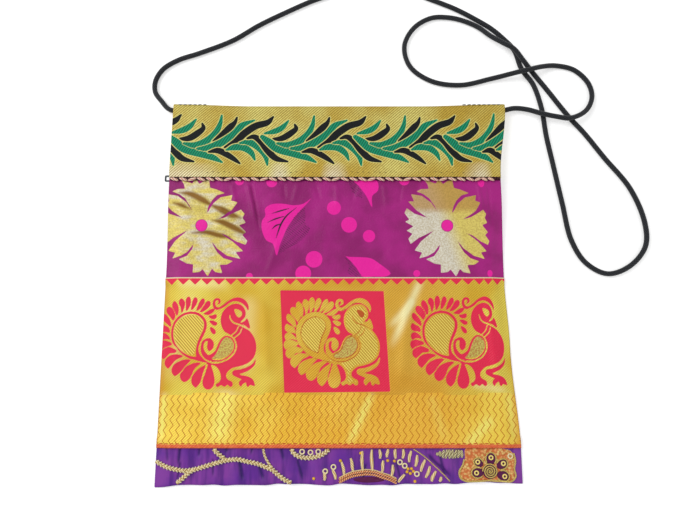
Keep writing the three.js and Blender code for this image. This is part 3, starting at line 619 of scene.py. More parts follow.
def gold_fields(x, y):
    """Leaf fields of the repeating vine. Each leaf is cut out of the ones before it with a
    margin, which leaves a pale line between two leaves."""
    fields = blank(x, "green", "black", "leaf")
    for repeat in range(-2, 5):
        start = (VINE_START[0] + VINE_REPEAT * repeat, VINE_START[1])
        for thread, rows in LEAVES:
            leaf = stroke(x, y, moved(rows, start), 8) + 0.48
            for name in ("green", "black"):
                fields[name] = np.minimum(fields[name], -(leaf + 0.5))
            add(fields, thread, leaf)
            add(fields, "leaf", leaf + 0.45)
    lower = through([(66, 1.0), (70, 0.75), (78, 0.0)], y)
    fields["gleam"] = lower * (0.5 + 0.5 * np.sin(x / 9.0 + 2.2 * np.sin(x / 23.0 + 1.0))) ** 2
    return fields


def flower(x, y, centre, fields):
    """One eight-petalled flower with its centre dot, added to the fields."""
    shape = patch(x, y, moved(FLOWER, centre), 1) + 0.15
    dot = FLOWER_DOT - np.hypot(x - centre[0], y - centre[1])
    add(fields, "flower", np.minimum(shape, -(dot + 0.35)))
    add(fields, "pink", dot)


def magenta_fields(x, y):
    """Flowers, buds and dots of the magenta satin, and the painted shade in the folds of the left flower.
    """
    fields = blank(x, "flower", "pink", "dark", "brown")
    for centre in FLOWER_CENTRES:
        flower(x, y, centre, fields)
    for bud in BUDS:
        add(fields, "pink", patch(x, y, bud, 3))
    for cx, cy, radius in DOTS:
        add(fields, "pink", radius - np.hypot(x - cx, y - cy))
    hatch = np.abs(((x * 0.6 + y * 0.8) / 1.15) % 1 - 0.5) * 2.3 - 0.68
    for rows in BUD_SHADES:
        add(fields, "dark", np.minimum(patch(x, y, rows, 3), hatch))
    for rows in BUD_VEINS:
        add(fields, "dark", stroke(x, y, rows))
    for rows in FLOWER_FOLD_SHADES:
        add(fields, "brown", stroke(x, y, rows))
    return fields


# Painted shade: brown streaks along the folds of the left flower
FLOWER_FOLD_SHADES = [
    [(-92.5, 55.0, 0.5), (-86.0, 54.2, 1.8), (-78.5, 50.5, 2.0), (-72.0, 46.5, 0.6)],
    [(-74.5, 48.0, 0.5), (-68.0, 45.0, 2.0), (-61.0, 41.5, 1.9), (-56.0, 39.5, 0.5)],
    [(-96.0, 49.0, 0.6), (-91.0, 47.5, 1.4), (-86.0, 45.0, 0.5)],
    [(-72.5, 38.5, 0.5), (-66.0, 37.0, 1.9), (-58.0, 33.0, 1.9), (-52.0, 29.8, 0.8)],
    [(-84.0, 31.0, 0.5), (-76.0, 31.5, 1.5), (-68.0, 29.5, 1.6), (-62.0, 28.5, 0.5)],
]


def peacock(x, y, centre, size=(1.03, 1.0)):
    """The filled figure of a peacock, the fine lines that part it, the eye of its tail and its
    wing. Each feather is cut out of the ones before it with a margin, which leaves a line
    between two feathers."""

    def strokes(tables):
        return np.maximum.reduce([stroke(x, y, moved(rows, centre, size)) for rows in tables])

    figure = np.full(x.shape, OUTSIDE)
    for rows in FEATHERS:
        feather = moved(rows, centre, size)
        feather[:, 0] += 0.5
        feather[:, 2] *= 1.3
        field = stroke(x, y, feather)
        figure = np.maximum(np.minimum(figure, -(field + 0.5)), field)
    thin = strokes((TAIL_RING, WING_EDGE, WING_CURL, CREST, THIGH, TOES, TOE_MIDDLE))
    body, beak, eye = (patch(x, y, moved(rows, centre, size), 3) for rows in (BODY, BEAK, EYE))
    inner, wing = (patch(x, y, moved(rows, centre, size), 4) for rows in (TAIL_EYE, WING))
    figure = np.maximum.reduce([figure, thin, body, beak])
    return figure, np.maximum(strokes(PEACOCK_LINES), eye), inner, wing


def peacock_fields(x, y):
    """Red figures on gold at both sides, a gold figure on red in the middle square, the teeth
    along the upper edge, and the field of zigzag lines below."""
    fields = blank(x, "red", "thin", "inner", "wing")
    for centre in SIDE_PEACOCKS:
        figure, lines, inner, wing = peacock(x, y, centre)
        add(fields, "red", np.minimum(figure, -lines))
        add(fields, "inner", inner)
        add(fields, "wing", wing)
    figure, lines, inner, wing = peacock(x, y, MIDDLE_PEACOCK, MIDDLE_SIZE)
    whole = np.maximum.reduce([figure + 0.12, inner + 1.0, wing + 1.0])
    inner = inner - 1.0
    belly = patch(x, y, moved(BODY, MIDDLE_PEACOCK, MIDDLE_SIZE), 3) - 1.0
    belly = np.minimum(belly, -(wing + 1.6))
    add(fields, "red", np.minimum(patch(x, y, RED_SQUARE, 1), -whole))
    rims = [0.28 - np.abs(inner + 0.15), 0.28 - np.abs(wing + 0.15), lines - 0.12]
    fields["thin"] = np.minimum(np.maximum.reduce(rims), whole)
    add(fields, "inner", np.maximum(inner, np.minimum(belly, -lines)))
    add(fields, "wing", wing)
    tooth = 2 * np.abs(((x + 95.0) / TOOTH_PITCH) % 1 - 0.5)
    add(fields, "red", np.minimum((y - 0.3 - 3.3 * (1 - tooth)) * 0.7, 4.1 - y))
    fields["cream"] = y - 4.15
    step = 1.2 * np.floor(x / 20 % 2)
    fields["zigzag"] = ZIGZAG_TOP - step - y
    fields["selvedge"] = SELVEDGE_TOP - y
    fields["shine"] = creases(x, y, SHINE)
    return fields


# Places in the peacock border
SIDE_PEACOCKS = ((-72.7, -32.9), (70.6, -32.4))
MIDDLE_PEACOCK = (-1.9, -32.7)
MIDDLE_SIZE = (1.0, 0.97)
RED_SQUARE = [(-32.1, -2.8), (27.6, -3.3), (30.7, -60.2), (-28.7, -60.8)]
TOOTH_PITCH = 6.86
ZIGZAG_TOP = -60.8
SELVEDGE_TOP = -88.7

# A cord's twist: sides of the tube, strands, length of a turn, depth of the groove, flatness
TWISTS = {
    "stem": (16, 4, 4.4, 0.45, 0.55),
    "spur": (14, 3, 3.0, 0.5, 0.5),
    "medallion": (16, 4, 4.0, 0.42, 0.55),
    "line": (10, 2, 1.8, 0.35, 0.7),
    "fan": (12, 2, 2.6, 0.4, 0.8),
    "trim": (10, 2, 1.5, 0.3, 0.8),
    "petal": (10, 2, 1.5, 0.35, 0.8),
    "spiral": (10, 2, 1.5, 0.4, 0.8),
    "border": (12, 3, 2.2, 0.35, 0.75),
    "bar": (12, 4, 1.5, 0.22, 0.6),
    "scallop": (12, 3, 2.6, 0.25, 0.7),
    "core": (10, 2, 3.3, 0.2, 0.5),
}

EMBROIDERY_CORDS = [
    [(-98.8, -97.8), (-93.8, -100.2), (-88.4, -101.8), (-82.4, -102.6), (-77.1, -102.1)],
    [(-86.4, -109.2), (-83.1, -106.5), (-79.1, -103.0), (-73.8, -101.1), (-68.4, -99.5), (-63.1, -98.0),
     (-58.4, -97.0), (-53.1, -96.7), (-48.4, -97.8), (-43.1, -98.9), (-37.7, -100.8), (-34.4, -102.1),
     (-31.1, -104.9), (-27.7, -107.3), (-23.9, -109.1)],
    [(-67.1, -91.2), (-63.8, -94.2), (-60.4, -96.8)],
]
SPUR = [(-39.7, -91.0), (-38.7, -94.8), (-36.7, -98.3), (-34.4, -101.4)]
MEDALLION = [
    (-24.4, -91.2), (-22.4, -93.8), (-19.1, -95.4), (-14.4, -95.9), (-9.7, -95.1), (-6.4, -93.7),
    (-3.4, -91.3),
]
FAN_ARC = [
    (2.2, -108.1), (5.2, -106.6), (8.6, -105.2), (12.6, -104.3), (17.2, -103.8), (21.9, -104.3),
    (25.9, -105.5), (29.9, -106.7), (33.6, -108.5),
]
FAN_LENS = (18.5, -107.4, 8.5, 1.5)
FAN_BARS = [
    (0.2, -107.2, -1.1, -101.5), (5.2, -105.6, 3.6, -98.0), (10.2, -103.4, 8.4, -96.1),
    (15.1, -102.8, 14.7, -92.3), (20.2, -102.8, 20.2, -91.5), (25.6, -103.4, 26.6, -97.3),
    (24.7, -96.3, 24.7, -91.4), (28.6, -95.6, 28.9, -91.2), (30.9, -105.6, 31.9, -99.5),
    (33.0, -96.3, 33.2, -91.2), (37.2, -96.3, 37.8, -91.2), (40.6, -98.2, 41.6, -92.1),
    (43.9, -100.4, 45.4, -94.3), (46.9, -103.2, 49.3, -96.8), (49.6, -106.4, 52.3, -100.3),
    (52.6, -108.3, 55.1, -102.9), (56.9, -108.3, 58.5, -106.0), (34.6, -108.8, 37.9, -104.6),
    (-6.0, -107.8, -5.5, -103.4),
]
RINGS = [
    (-5.4, -103.0), (-0.9, -100.7), (35.6, -98.2), (38.2, -100.1), (44.7, -104.3), (96.4, -95.0),
    (-18.2, -92.6), (-13.6, -93.0), (-9.3, -92.6),
]
GOLD_KNOTS = [
    (-11.7, -106.8), (2.9, -97.4), (14.0, -93.4), (20.2, -97.0), (28.9, -97.3), (32.6, -97.6),
    (40.0, -101.7), (41.9, -101.6), (42.9, -103.0), (41.2, -104.1), (39.4, -103.3), (43.6, -108.2),
]
GOLD_LINE = [(43.2, -91.3), (48.6, -94.8), (53.9, -99.5), (59.3, -104.6), (62.7, -108.2)]
# The purl rows: places of the first one's foot and head, then (place, length) of each
PURL_FOOT = 55.9
PURL_HEAD = 56.4
PURL_Y = -93.8
PURL_ROWS = [
    (0.0, 1.4), (1.7, 2.8), (3.4, 4.4), (5.1, 4.8), (6.8, 4.9), (8.5, 4.8), (10.2, 4.6), (11.9, 4.4),
    (13.6, 4.0),
]
PATCH_OUTLINE = [
    (71.6, -90.9), (71.0, -96.6), (70.0, -99.8), (68.1, -103.2), (68.6, -106.4), (71.5, -108.1),
    (77.3, -108.2), (83.9, -107.9), (91.9, -108.2), (96.6, -108.3), (99.0, -105.8), (98.4, -101.8),
    (99.2, -97.6), (98.4, -93.4), (94.6, -90.8), (85.0, -90.4), (77.0, -90.5),
]
PETALS = [
    (85.6, -96.4, 3.1), (78.7, -98.4, 2.6), (91.6, -99.2, 3.0), (78.0, -103.7, 3.1), (92.0, -105.4, 3.2),
]
DISC = (84.9, -103.0, 4.1)

FLOWER_CENTRES = [(65.2, 35.3), (-78.9, 35.4)]
FLOWER_DOT = 3.3
FLOWER = [
    (-4.5, 6.8), (-7.1, 12), (-10.1, 16.3), (-13.5, 18.8), (-17.6, 20.4), (-14.6, 21.7), (-10.3, 21.9),
    (-11, 24.8), (-12.8, 27.5), (-8.2, 25.8), (-6.2, 25), (-4.5, 28.1), (-2, 24.7), (0.8, 26.8),
    (3.4, 27.2), (4.3, 22.5), (7.9, 21.5), (12.8, 19.4), (8.6, 18.2), (5.6, 15.1), (3.8, 11.6), (2.6, 7),
    (4.1, 8.5), (6.8, 13.2), (10.9, 16.7), (17.6, 18), (16.9, 14.7), (20.6, 13.6), (17.2, 8.9),
    (13.1, 6.2), (7.7, 3.1), (13.9, 4.8), (18.4, 7), (22.9, 9.2), (25, 6.8), (23.8, 4.3), (25.7, 1.6),
    (21.5, 0.3), (26, -4), (23.8, -5.6), (26.9, -9.3), (25.9, -11.3), (20.6, -9.3), (14.2, -5.4),
    (7.7, -2.9), (12.4, -5.6), (18.4, -9.7), (24.5, -15.1), (20, -15.7), (23, -19.6), (15.4, -17.7),
    (9.4, -13.3), (4.7, -7), (6.8, -11.6), (9.4, -15.9), (13.1, -19.4), (18.5, -21.1), (15.4, -22.9),
    (11, -23.1), (12.8, -28.1), (8.8, -27.3), (6.8, -25.2), (4.5, -29.8), (1.5, -25.6), (-0.4, -27.3),
    (-4.1, -27.7), (-4, -22.9), (-7.9, -22.3), (-12.4, -19.9), (-7.9, -18.2), (-4.9, -14), (-3, -6.4),
    (-4.5, -10.9), (-7.9, -15.5), (-11.6, -17.8), (-16.5, -19.2), (-14.8, -15.9), (-19.1, -14.6),
    (-15.4, -9.5), (-10.9, -5.8), (-6.5, -2), (-11.6, -4.7), (-16.9, -7.2), (-21.5, -10.7), (-22.7, -7.8),
    (-20.2, -4.8), (-23.6, -3.1), (-19.5, -0.5), (-24.5, 2.2), (-22, 3.4), (-24.8, 7.4), (-23.6, 10.1),
    (-19.1, 6.8), (-13.1, 4.8), (-7.5, 2.6), (-12.4, 5.4), (-17.6, 8.9), (-22.6, 14.2), (-19, 14.1),
    (-20.9, 18.6), (-14.6, 17.5), (-9.4, 13.6), (-4.9, 7),
]
# Place of a stem at the left, and the distance from one stem to the next
VINE_START = (-98.8, 92.4)
VINE_REPEAT = 55.8
LEAVES = [
    ("green", [(0, -0.1, 0.28), (6.2, 1.5, 1.52), (10.3, 4, 1.38), (14, 8.7, 0.14)]),
    ("black", [(4.3, -4, 0.14), (10.3, -3.6, 1.52), (15.8, 0, 1.65), (18.7, 3.3, 0.96),
     (17.9, 6.2, 0.14)]),
    ("green", [(-1.5, -2.5, 0.96), (2.8, -6.2, 1.93), (7.6, -10.2, 2.07), (17.9, -13.8, 1.65),
     (25.5, -16, 1.38), (30.9, -18.9, 0.14)]),
    ("green", [(7.6, -6.9, 0.28), (14.5, -8, 1.52), (21.4, -5.1, 1.79), (26.2, 0, 1.52),
     (28.6, 5.8, 0.96), (29.5, 12, 0.14)]),
    ("black", [(25.1, -5.5, 0.14), (30.3, -1.1, 1.38), (35.1, 4.4, 1.65), (37.6, 7.6, 0.83),
     (38.7, 10.9, 0.14)]),
    ("green", [(15.8, -10.3, 0.28), (22.7, -9.8, 1.65), (31, -5.8, 1.93), (37.9, 0, 1.79),
     (42, 5.5, 1.52), (49.3, 9.1, 0.14)]),
    ("black", [(32, -9.5, 0.14), (38.6, -5.8, 1.65), (43.4, -0.4, 1.93), (50.3, 5.1, 1.93),
     (57.2, 7.6, 1.52), (60.6, 11.5, 0.14)]),
    ("black", [(22.7, -12.5, 0.14), (28.2, -11.6, 1.38), (33.8, -14.2, 1.38), (38.2, -17.1, 0.96),
     (41.5, -19.7, 0.14)]),
    ("green", [(33.1, -11.1, 0.14), (37.9, -9.5, 1.52), (43.4, -9.8, 1.65), (48.2, -13.1, 1.24),
     (50.4, -17.5, 0.14)]),
    ("green", [(41, -6.7, 0.14), (46.2, -6.2, 1.38), (52.4, -9.5, 1.79), (56.5, -14.6, 1.38),
     (57.9, -20.7, 0.14)]),
    ("black", [(45.5, -3.6, 0.28), (49.3, -2.5, 1.24), (53.7, -5.8, 1.65), (57.9, -11.6, 1.65),
     (62.7, -16.4, 1.38), (69.9, -18.6, 0.14)]),
]
FEATHERS = [
    [(0.8, -12.2, 0.56), (1, -18.4, 2.02), (0.7, -22.7, 2.5), (0.6, -25.5, 0.32)],
    [(-1.5, -12.8, 0.32), (-4.4, -16.8, 1.53), (-6.2, -21.3, 2.02), (-6.2, -24.8, 0.32)],
    [(-4, -11.3, 0.32), (-8.5, -13.6, 1.37), (-12.1, -18.4, 2.34), (-12.5, -21.6, 0.4)],
    [(-9.5, -9.6, 0.32), (-13.7, -11.8, 1.53), (-17.1, -15.2, 2.02), (-17.8, -18.4, 0.32)],
    [(-14.3, -7.6, 0.4), (-18.5, -8.4, 1.37), (-21.6, -11, 1.93), (-21.8, -14.3, 0.32)],
    [(-18.5, -4.8, 0.81), (-22.2, -4.4, 1.53), (-24.6, -6.2, 1.77), (-24.8, -9, 0.24)],
    [(-20.6, -0.8, 0.56), (-23.4, -0.6, 1.21), (-25.8, -1, 1.61), (-26.8, -3.8, 0.24)],
    [(-21, 1.6, 0.16), (-23.8, 3.4, 0.97), (-25.7, 3.6, 1.37), (-26.5, 1.6, 0.32)],
    [(-21.6, 5.4, 0.16), (-23.8, 7.6, 1.13), (-25.7, 8.2, 1.37), (-26.5, 10.4, 0.32)],
    [(-21.3, 8.8, 0.16), (-23.2, 12, 1.05), (-25.2, 14.4, 1.21), (-25.9, 16.2, 0.4)],
    [(-19.5, 11.4, 0.16), (-21, 16, 1.37), (-22.8, 18.6, 1.45), (-23.3, 19.9, 0.64)],
    [(-17.9, 14.7, 0.16), (-18.7, 19.2, 1.05), (-19.9, 21.7, 1.21), (-20.1, 23.5, 0.4)],
    [(-15.6, 16.4, 0.16), (-15.4, 20.7, 0.89), (-16, 23.1, 1.29), (-16.2, 24.4, 0.73)],
    [(-13.1, 17.9, 0.24), (-12.3, 21.9, 1.05), (-12.3, 24.7, 1.05), (-12.2, 26.3, 0.24)],
    [(-10.5, 18, 0.24), (-9.1, 21.9, 0.97), (-8.4, 24.3, 1.05), (-8.4, 25.6, 0.4)],
    [(-7.8, 17.6, 0.16), (-5.6, 21.1, 0.97), (-4.4, 23.5, 1.05), (-4, 24.7, 0.56)],
    [(-6, 17, 0.16), (-2.8, 19.9, 1.05), (-1.2, 22.3, 1.13), (-0.9, 23.3, 0.56)],
    [(-3.6, 16.3, 0.16), (-0.8, 17, 0.89), (1, 18.2, 0.89), (2, 18.7, 0.48)],
    [(-0.6, 15.2, 0.16), (1, 14.6, 0.73), (2.6, 14.8, 0.97), (3.3, 15.6, 0.48)],
    [(-0.1, 12.3, 0.16), (1.6, 11.6, 0.81), (3, 10.8, 0.89), (3.8, 11.2, 0.4)],
    [(0.4, 9, 0.16), (1.6, 7.4, 0.81), (2.6, 6, 0.89), (2.9, 5.1, 0.32)],
]
TAIL_RING = [
    (-4.4, -9.6, 1.21), (-6, -9, 0.89), (-10.1, -8, 0.73), (-13.3, -6.3, 0.69), (-16.1, -3.8, 0.64),
    (-18.5, -0.4, 0.64), (-19.7, 3.2, 0.64), (-19.9, 6.8, 0.64), (-19.1, 10.4, 0.64), (-17.1, 13.6, 0.64),
    (-14.1, 16, 0.64), (-10.1, 17, 0.64), (-6.4, 16.4, 0.69), (-3.8, 14.6, 0.73), (-2.1, 12.2, 0.77),
    (-1.7, 9.6, 0.81), (-2.2, 6.8, 0.81), (-3.5, 3.6, 0.81), (-4.8, 0.4, 0.73), (-5.6, -3.2, 0.64),
    (-5.2, -6.8, 1.05), (-3.6, -9.4, 1.45), (-1.2, -10.6, 0.56),
]
TAIL_EYE = [
    (-7.7, -7), (-10.9, -6), (-14.1, -4), (-16.9, -0.8), (-18.5, 3.2), (-18.7, 6.8), (-17.9, 10),
    (-16.1, 12.8), (-13.5, 14.8), (-10.1, 15.8), (-6.9, 15.2), (-4.4, 13.4), (-3.1, 11.2), (-2.9, 9),
    (-3.6, 6.4), (-5.2, 2.8), (-6.2, -0.8), (-6.8, -4.4),
]
BODY = [
    (11.7, 4.7), (9.1, 6.2), (7.3, 9.2), (6.6, 13.2), (7.5, 17.4), (9.7, 20.3), (12.7, 22), (15.9, 22.3),
    (18.7, 20.8), (20.3, 17.8), (20.1, 14.6), (18.3, 12.2), (19.3, 10.2), (22.4, 7.2), (25.2, 3.6),
    (26.7, -0.4), (26.8, -4.4), (25.6, -8.4), (22.6, -11.4), (18.1, -13.2), (14.1, -14.2), (11.5, -16.4),
    (10.7, -18.6), (11.7, -20.5), (14.3, -22.1), (14.4, -24.3), (13.1, -24.7), (11.7, -23.5),
    (10.1, -24.7), (8.1, -23.7), (6.2, -24.9), (5.2, -23.3), (6.9, -22.3), (7.9, -20.3), (7.5, -17.2),
    (6, -14.4), (4, -12.8), (0.4, -12.2), (-4, -10.8), (-2, -8.8), (4, -10.8), (8.5, -10), (12.5, -7.6),
    (14.9, -4.4), (15.7, -1.4), (14.5, 1.6),
]
WING = [
    (2, -9), (5.2, -9), (8.5, -8.6), (11.5, -6.8), (13.5, -4.4), (14.3, -1.6), (13.5, 1), (11.9, 2.8),
    (10.1, 3.2), (8.3, 2.2), (6.9, 0), (5.8, -2.8), (4.4, -5.2), (2, -6.6), (0.8, -8),
]
WING_EDGE = [
    (-0.2, 1.8, 0.73), (-2, 1.2, 0.81), (-2.9, -1.2, 0.73), (-2.8, -4, 0.89), (-1.6, -6.8, 1.37),
    (0.4, -8.4, 1.37), (2.8, -7.2, 1.05), (4.8, -4.8, 0.64), (6, -1.6, 0.56), (7.3, 1.2, 0.52),
    (9.1, 3.1, 0.48), (10.5, 3.5, 0.44), (12.7, 2.6, 0.44), (14.3, 0.4, 0.4), (14.8, -2, 0.36),
    (14.1, -4.8, 0.36), (12.3, -7.2, 0.36), (9.3, -9.4, 0.36), (6, -10.2, 0.36), (2.8, -9.8, 0.48),
    (0.4, -8.8, 0.81),
]
WING_CURL = [(0.8, 1.6, 1.05), (1.6, -0.4, 1.77), (1.4, -2.4, 1.77), (1.1, -4, 0.81)]
CREST = [
    (4.4, 22, 0.24), (5.6, 22.9, 0.56), (5.2, 24.7, 0.64), (3.4, 24.7, 0.64), (2.5, 22.7, 0.73),
    (3.2, 20.3, 0.81), (5, 19.4, 0.81), (7.7, 20.7, 0.81), (10.5, 22.9, 0.89), (13.3, 24.4, 1.05),
    (16.1, 24.7, 1.29), (18.9, 23.5, 1.29), (21, 21.1, 0.89), (21.6, 19, 0.4), (21.4, 17.8, 0.08),
]
BEAK = [(21.2, 14), (23.2, 7.8), (20.6, 9.6), (18.5, 11.5), (20.2, 12.4)]
THIGH = [
    (26.9, -9, 0.16), (25.6, -12.2, 0.73), (22.6, -14.6, 1.05), (18.5, -16.2, 1.21), (15.3, -17, 1.37),
    (17.7, -18.8, 0.97), (21.8, -20.1, 1.37), (24.2, -21.7, 1.69), (26.2, -23.7, 0.56),
]
TOES = [(21.8, -20.7, 1.21), (19.1, -22.5, 1.21), (19, -24.3, 0.4)]
TOE_MIDDLE = [(23, -21.3, 1.21), (23, -23.5, 0.97), (22.9, -24.7, 0.16)]
EYE = [(13.9, 19.2), (16.1, 19), (18.1, 17.6), (18.3, 15.8), (16.9, 14.3), (15.3, 15.4)]
PEACOCK_LINES = [
    [(11.5, 15.6, 0.32), (12.1, 13.4, 0.4), (13.9, 11.4, 0.44), (17.7, 10, 0.44), (22.6, 7.2, 0.28)],
    [(5.4, 18.7, 0.32), (8.5, 20.1, 0.36), (12.1, 22.9, 0.36), (15.3, 23.3, 0.36), (18.5, 21.9, 0.36),
     (20.5, 19.4, 0.36), (20.9, 16.4, 0.36), (19.7, 13.2, 0.36), (18.1, 11.8, 0.36)],
    [(16.6, 9.2, 0.32), (15.3, 6.4, 0.32), (12.8, 4.1, 0.32)],
    [(18.5, 8.1, 0.32), (17.5, 5.4, 0.32), (14.7, 2.9, 0.32)],
    [(-0.6, 2.9, 0.36), (-3.1, 1.4, 0.4), (-4.2, -1.6, 0.4), (-3.8, -5.6, 0.4), (-1.8, -8.8, 0.4),
     (1.2, -10.7, 0.4), (4.4, -11.4, 0.4), (8.5, -10.6, 0.4), (12.5, -8.4, 0.4), (15.1, -5.2, 0.36),
     (15.9, -1.8, 0.36), (14.7, 1.8, 0.36), (12.5, 3.8, 0.32), (10.5, 4.2, 0.32)],
    [(-1.1, 0.6, 0.32), (-1.5, -2, 0.32), (-0.2, -4.4, 0.4), (1.4, -5.3, 0.4), (3.6, -4, 0.36),
     (4.9, -1.6, 0.28)],
    [(26.9, -8, 0.32), (25, -11.2, 0.36), (22.2, -12.8, 0.36), (17.3, -14, 0.36), (14.1, -15, 0.36),
     (11.9, -17.2, 0.36)],
    [(-16.9, -3.6, 0.4), (-19.3, -0.8, 0.4), (-20.9, 3.2, 0.4), (-20.9, 7.2, 0.4), (-19.9, 11.2, 0.4),
     (-17.7, 14.8, 0.4), (-14.1, 17.2, 0.36), (-10.1, 18.3, 0.36), (-6, 17.6, 0.36), (-2.8, 15.6, 0.36),
     (-1, 13.2, 0.32)],
    [(-16.9, -3.8, 0.36), (-13.3, -7.2, 0.36), (-9.3, -9.4, 0.36), (-4.4, -10.8, 0.4),
     (-0.4, -11.7, 0.4)],
]
BUDS = [
    [(-14.5, 51.9), (-19.1, 48.4), (-24.8, 47.4), (-32, 48.4), (-38.4, 47.8), (-41.9, 45.2),
     (-41.5, 41.2), (-43.5, 38.2), (-43.4, 32.4), (-40.7, 26.5), (-36.8, 24.4), (-34.7, 17.3),
     (-32.9, 23.6), (-31.2, 28), (-29.5, 32.4), (-27.5, 36), (-24, 40.8), (-18.4, 47.1)],
    [(0, 21.3), (5.6, 17.3), (13, 16.7), (20.4, 16), (25.5, 12.6), (31.8, 7.1), (29.2, 5.4), (21.8, 5.3),
     (15.2, 5.3), (12.2, 9.9), (8.5, 14.4), (4.1, 18.2)],
    [(10.2, 62.8), (23.7, 62.8), (24.8, 56.5), (21.2, 53), (21.2, 45.9), (18, 52.6), (13.8, 58.5)],
]
BUD_SHADES = [
    [(-18.7, 46.3), (-24, 41.5), (-27.5, 36), (-30.2, 29.4), (-31.8, 24.4), (-33.8, 17.9), (-28.6, 21.5),
     (-23, 24.4), (-17.4, 29.4), (-15.2, 33.8), (-17.9, 36.8), (-17.9, 41.2)],
    [(4.1, 18.1), (8.5, 14.1), (12.2, 9.6), (15.2, 5.4), (10.7, 5.3), (6.7, 7.7), (7.4, 12.2)],
    [(7.4, 62.4), (10.2, 62), (14.6, 57.7), (15.3, 51.8), (11.9, 52.6), (8.5, 57.7)],
]
BUD_VEINS = [
    [(-23, 46.3, 0.14), (-29, 41.2, 0.42), (-32.4, 36, 0.49), (-35.1, 28, 0.21)],
    [(-27.6, 45.5, 0.21), (-32.6, 44.1, 0.42), (-38.3, 42.3, 0.14)],
    [(-30.4, 40.8, 0.21), (-35.4, 39.3, 0.42), (-40.3, 37.1, 0.14)],
    [(-32.1, 36.4, 0.21), (-35.3, 35.3, 0.42), (-37.7, 33.1, 0.14)],
]
DOTS = [
    (-1.3, 45.8, 4.1), (-12.8, 15.4, 4.9), (-19, 7.1, 4.6), (7.6, 35.7, 4.6), (19.3, 29.1, 3.6),
    (-57.3, 62.1, 2.6), (-38.2, 61.5, 3.2), (40.3, 62.7, 3.2), (87.2, 60.9, 2.6), (-50.2, 5.4, 2),
    (46.9, 7.1, 2), (92.1, 7.1, 2),
]


CORD_ROUTE = [
    (-101.6, 108.4, 3.1), (-107.5, 114.6, 2.1), (-111.8, 120.8, 1.6), (-112.0, 128.1, 1.6),
    (-107.6, 136.1, 1.6), (-98.3, 142.2, 1.6), (-86.0, 146.6, 1.6), (-65.1, 155.4, 1.6),
    (-49.1, 165.7, 1.6), (-32.9, 174.4, 1.6), (-12.2, 184.2, 1.6), (8.2, 190.2, 1.6), (26.0, 192.3, 1.6),
    (43.2, 190.2, 1.6), (60.2, 183.5, 1.6), (75.2, 176.9, 1.6), (89.5, 168.5, 1.6), (97.1, 163.3, 1.6),
    (104.1, 156.7, 1.6), (110.5, 149.0, 1.6), (114.6, 136.1, 1.6), (121.1, 125.7, 1.8),
    (125.5, 110.2, 1.6), (127.3, 92.8, 1.6), (130.4, 73.8, 1.6), (134.4, 49.6, 1.6), (138.4, 27.0, 1.6),
    (146.0, 13.5, 1.6), (158.1, 7.1, 1.6), (171.6, 11.7, 1.6), (181.7, 23.6, 1.6), (182.4, 38.2, 1.6),
    (175.5, 58.8, 1.6), (161.3, 78.5, 1.6), (150.5, 93.9, 1.6), (141.7, 104.7, 1.6), (129.6, 122.1, 1.6),
    (120.9, 134.0, 2.0), (115.0, 140.7, 4.4), (109.4, 147.8, 5.4), (103.0, 151.8, 5.3),
    (96.2, 157.3, 3.4), (88.6, 164.5, 1.8), (79.4, 169.0, 1.6), (70.3, 171.2, 1.6), (59.3, 170.8, 1.6),
    (48.4, 164.0, 1.6), (42.2, 151.7, 1.6), (45.4, 137.8, 1.6), (58.2, 128.1, 1.6), (76.1, 125.3, 1.6),
    (95.3, 129.4, 1.9), (105.4, 131.2, 3.9), (112.4, 132.3, 5.7), (118.9, 133.8, 6.0),
    (127.4, 136.8, 3.6), (136.1, 138.2, 1.8), (147.1, 135.4, 1.6), (155.2, 126.8, 1.6),
    (156.9, 117.4, 1.8), (152.0, 107.8, 3.4), (141.2, 102.0, 5.5), (132.9, 103.3, 5.0),
    (124.1, 105.1, 5.3), (116.0, 108.4, 3.6), (108.2, 109.3, 3.2), (101.6, 107.9, 3.2),
]


def sizes():
    """The size properties of the scene."""
    return bpy.context.scene.pouch_sizes


def paint(name):
    """One colour of the scene's properties."""
    return tuple(getattr(bpy.context.scene.pouch_colours, name))


def finish_piece(thing, material, body="pouch"):
    """Gives a piece its material and its body."""
    thing.data.materials.append(material)
    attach(thing, body)
    return thing


def thread_piece(name, mesh, material):
    """A finished piece of the pouch from points, faces, uv and fields."""
    return finish_piece(make_mesh(name, *mesh), material)


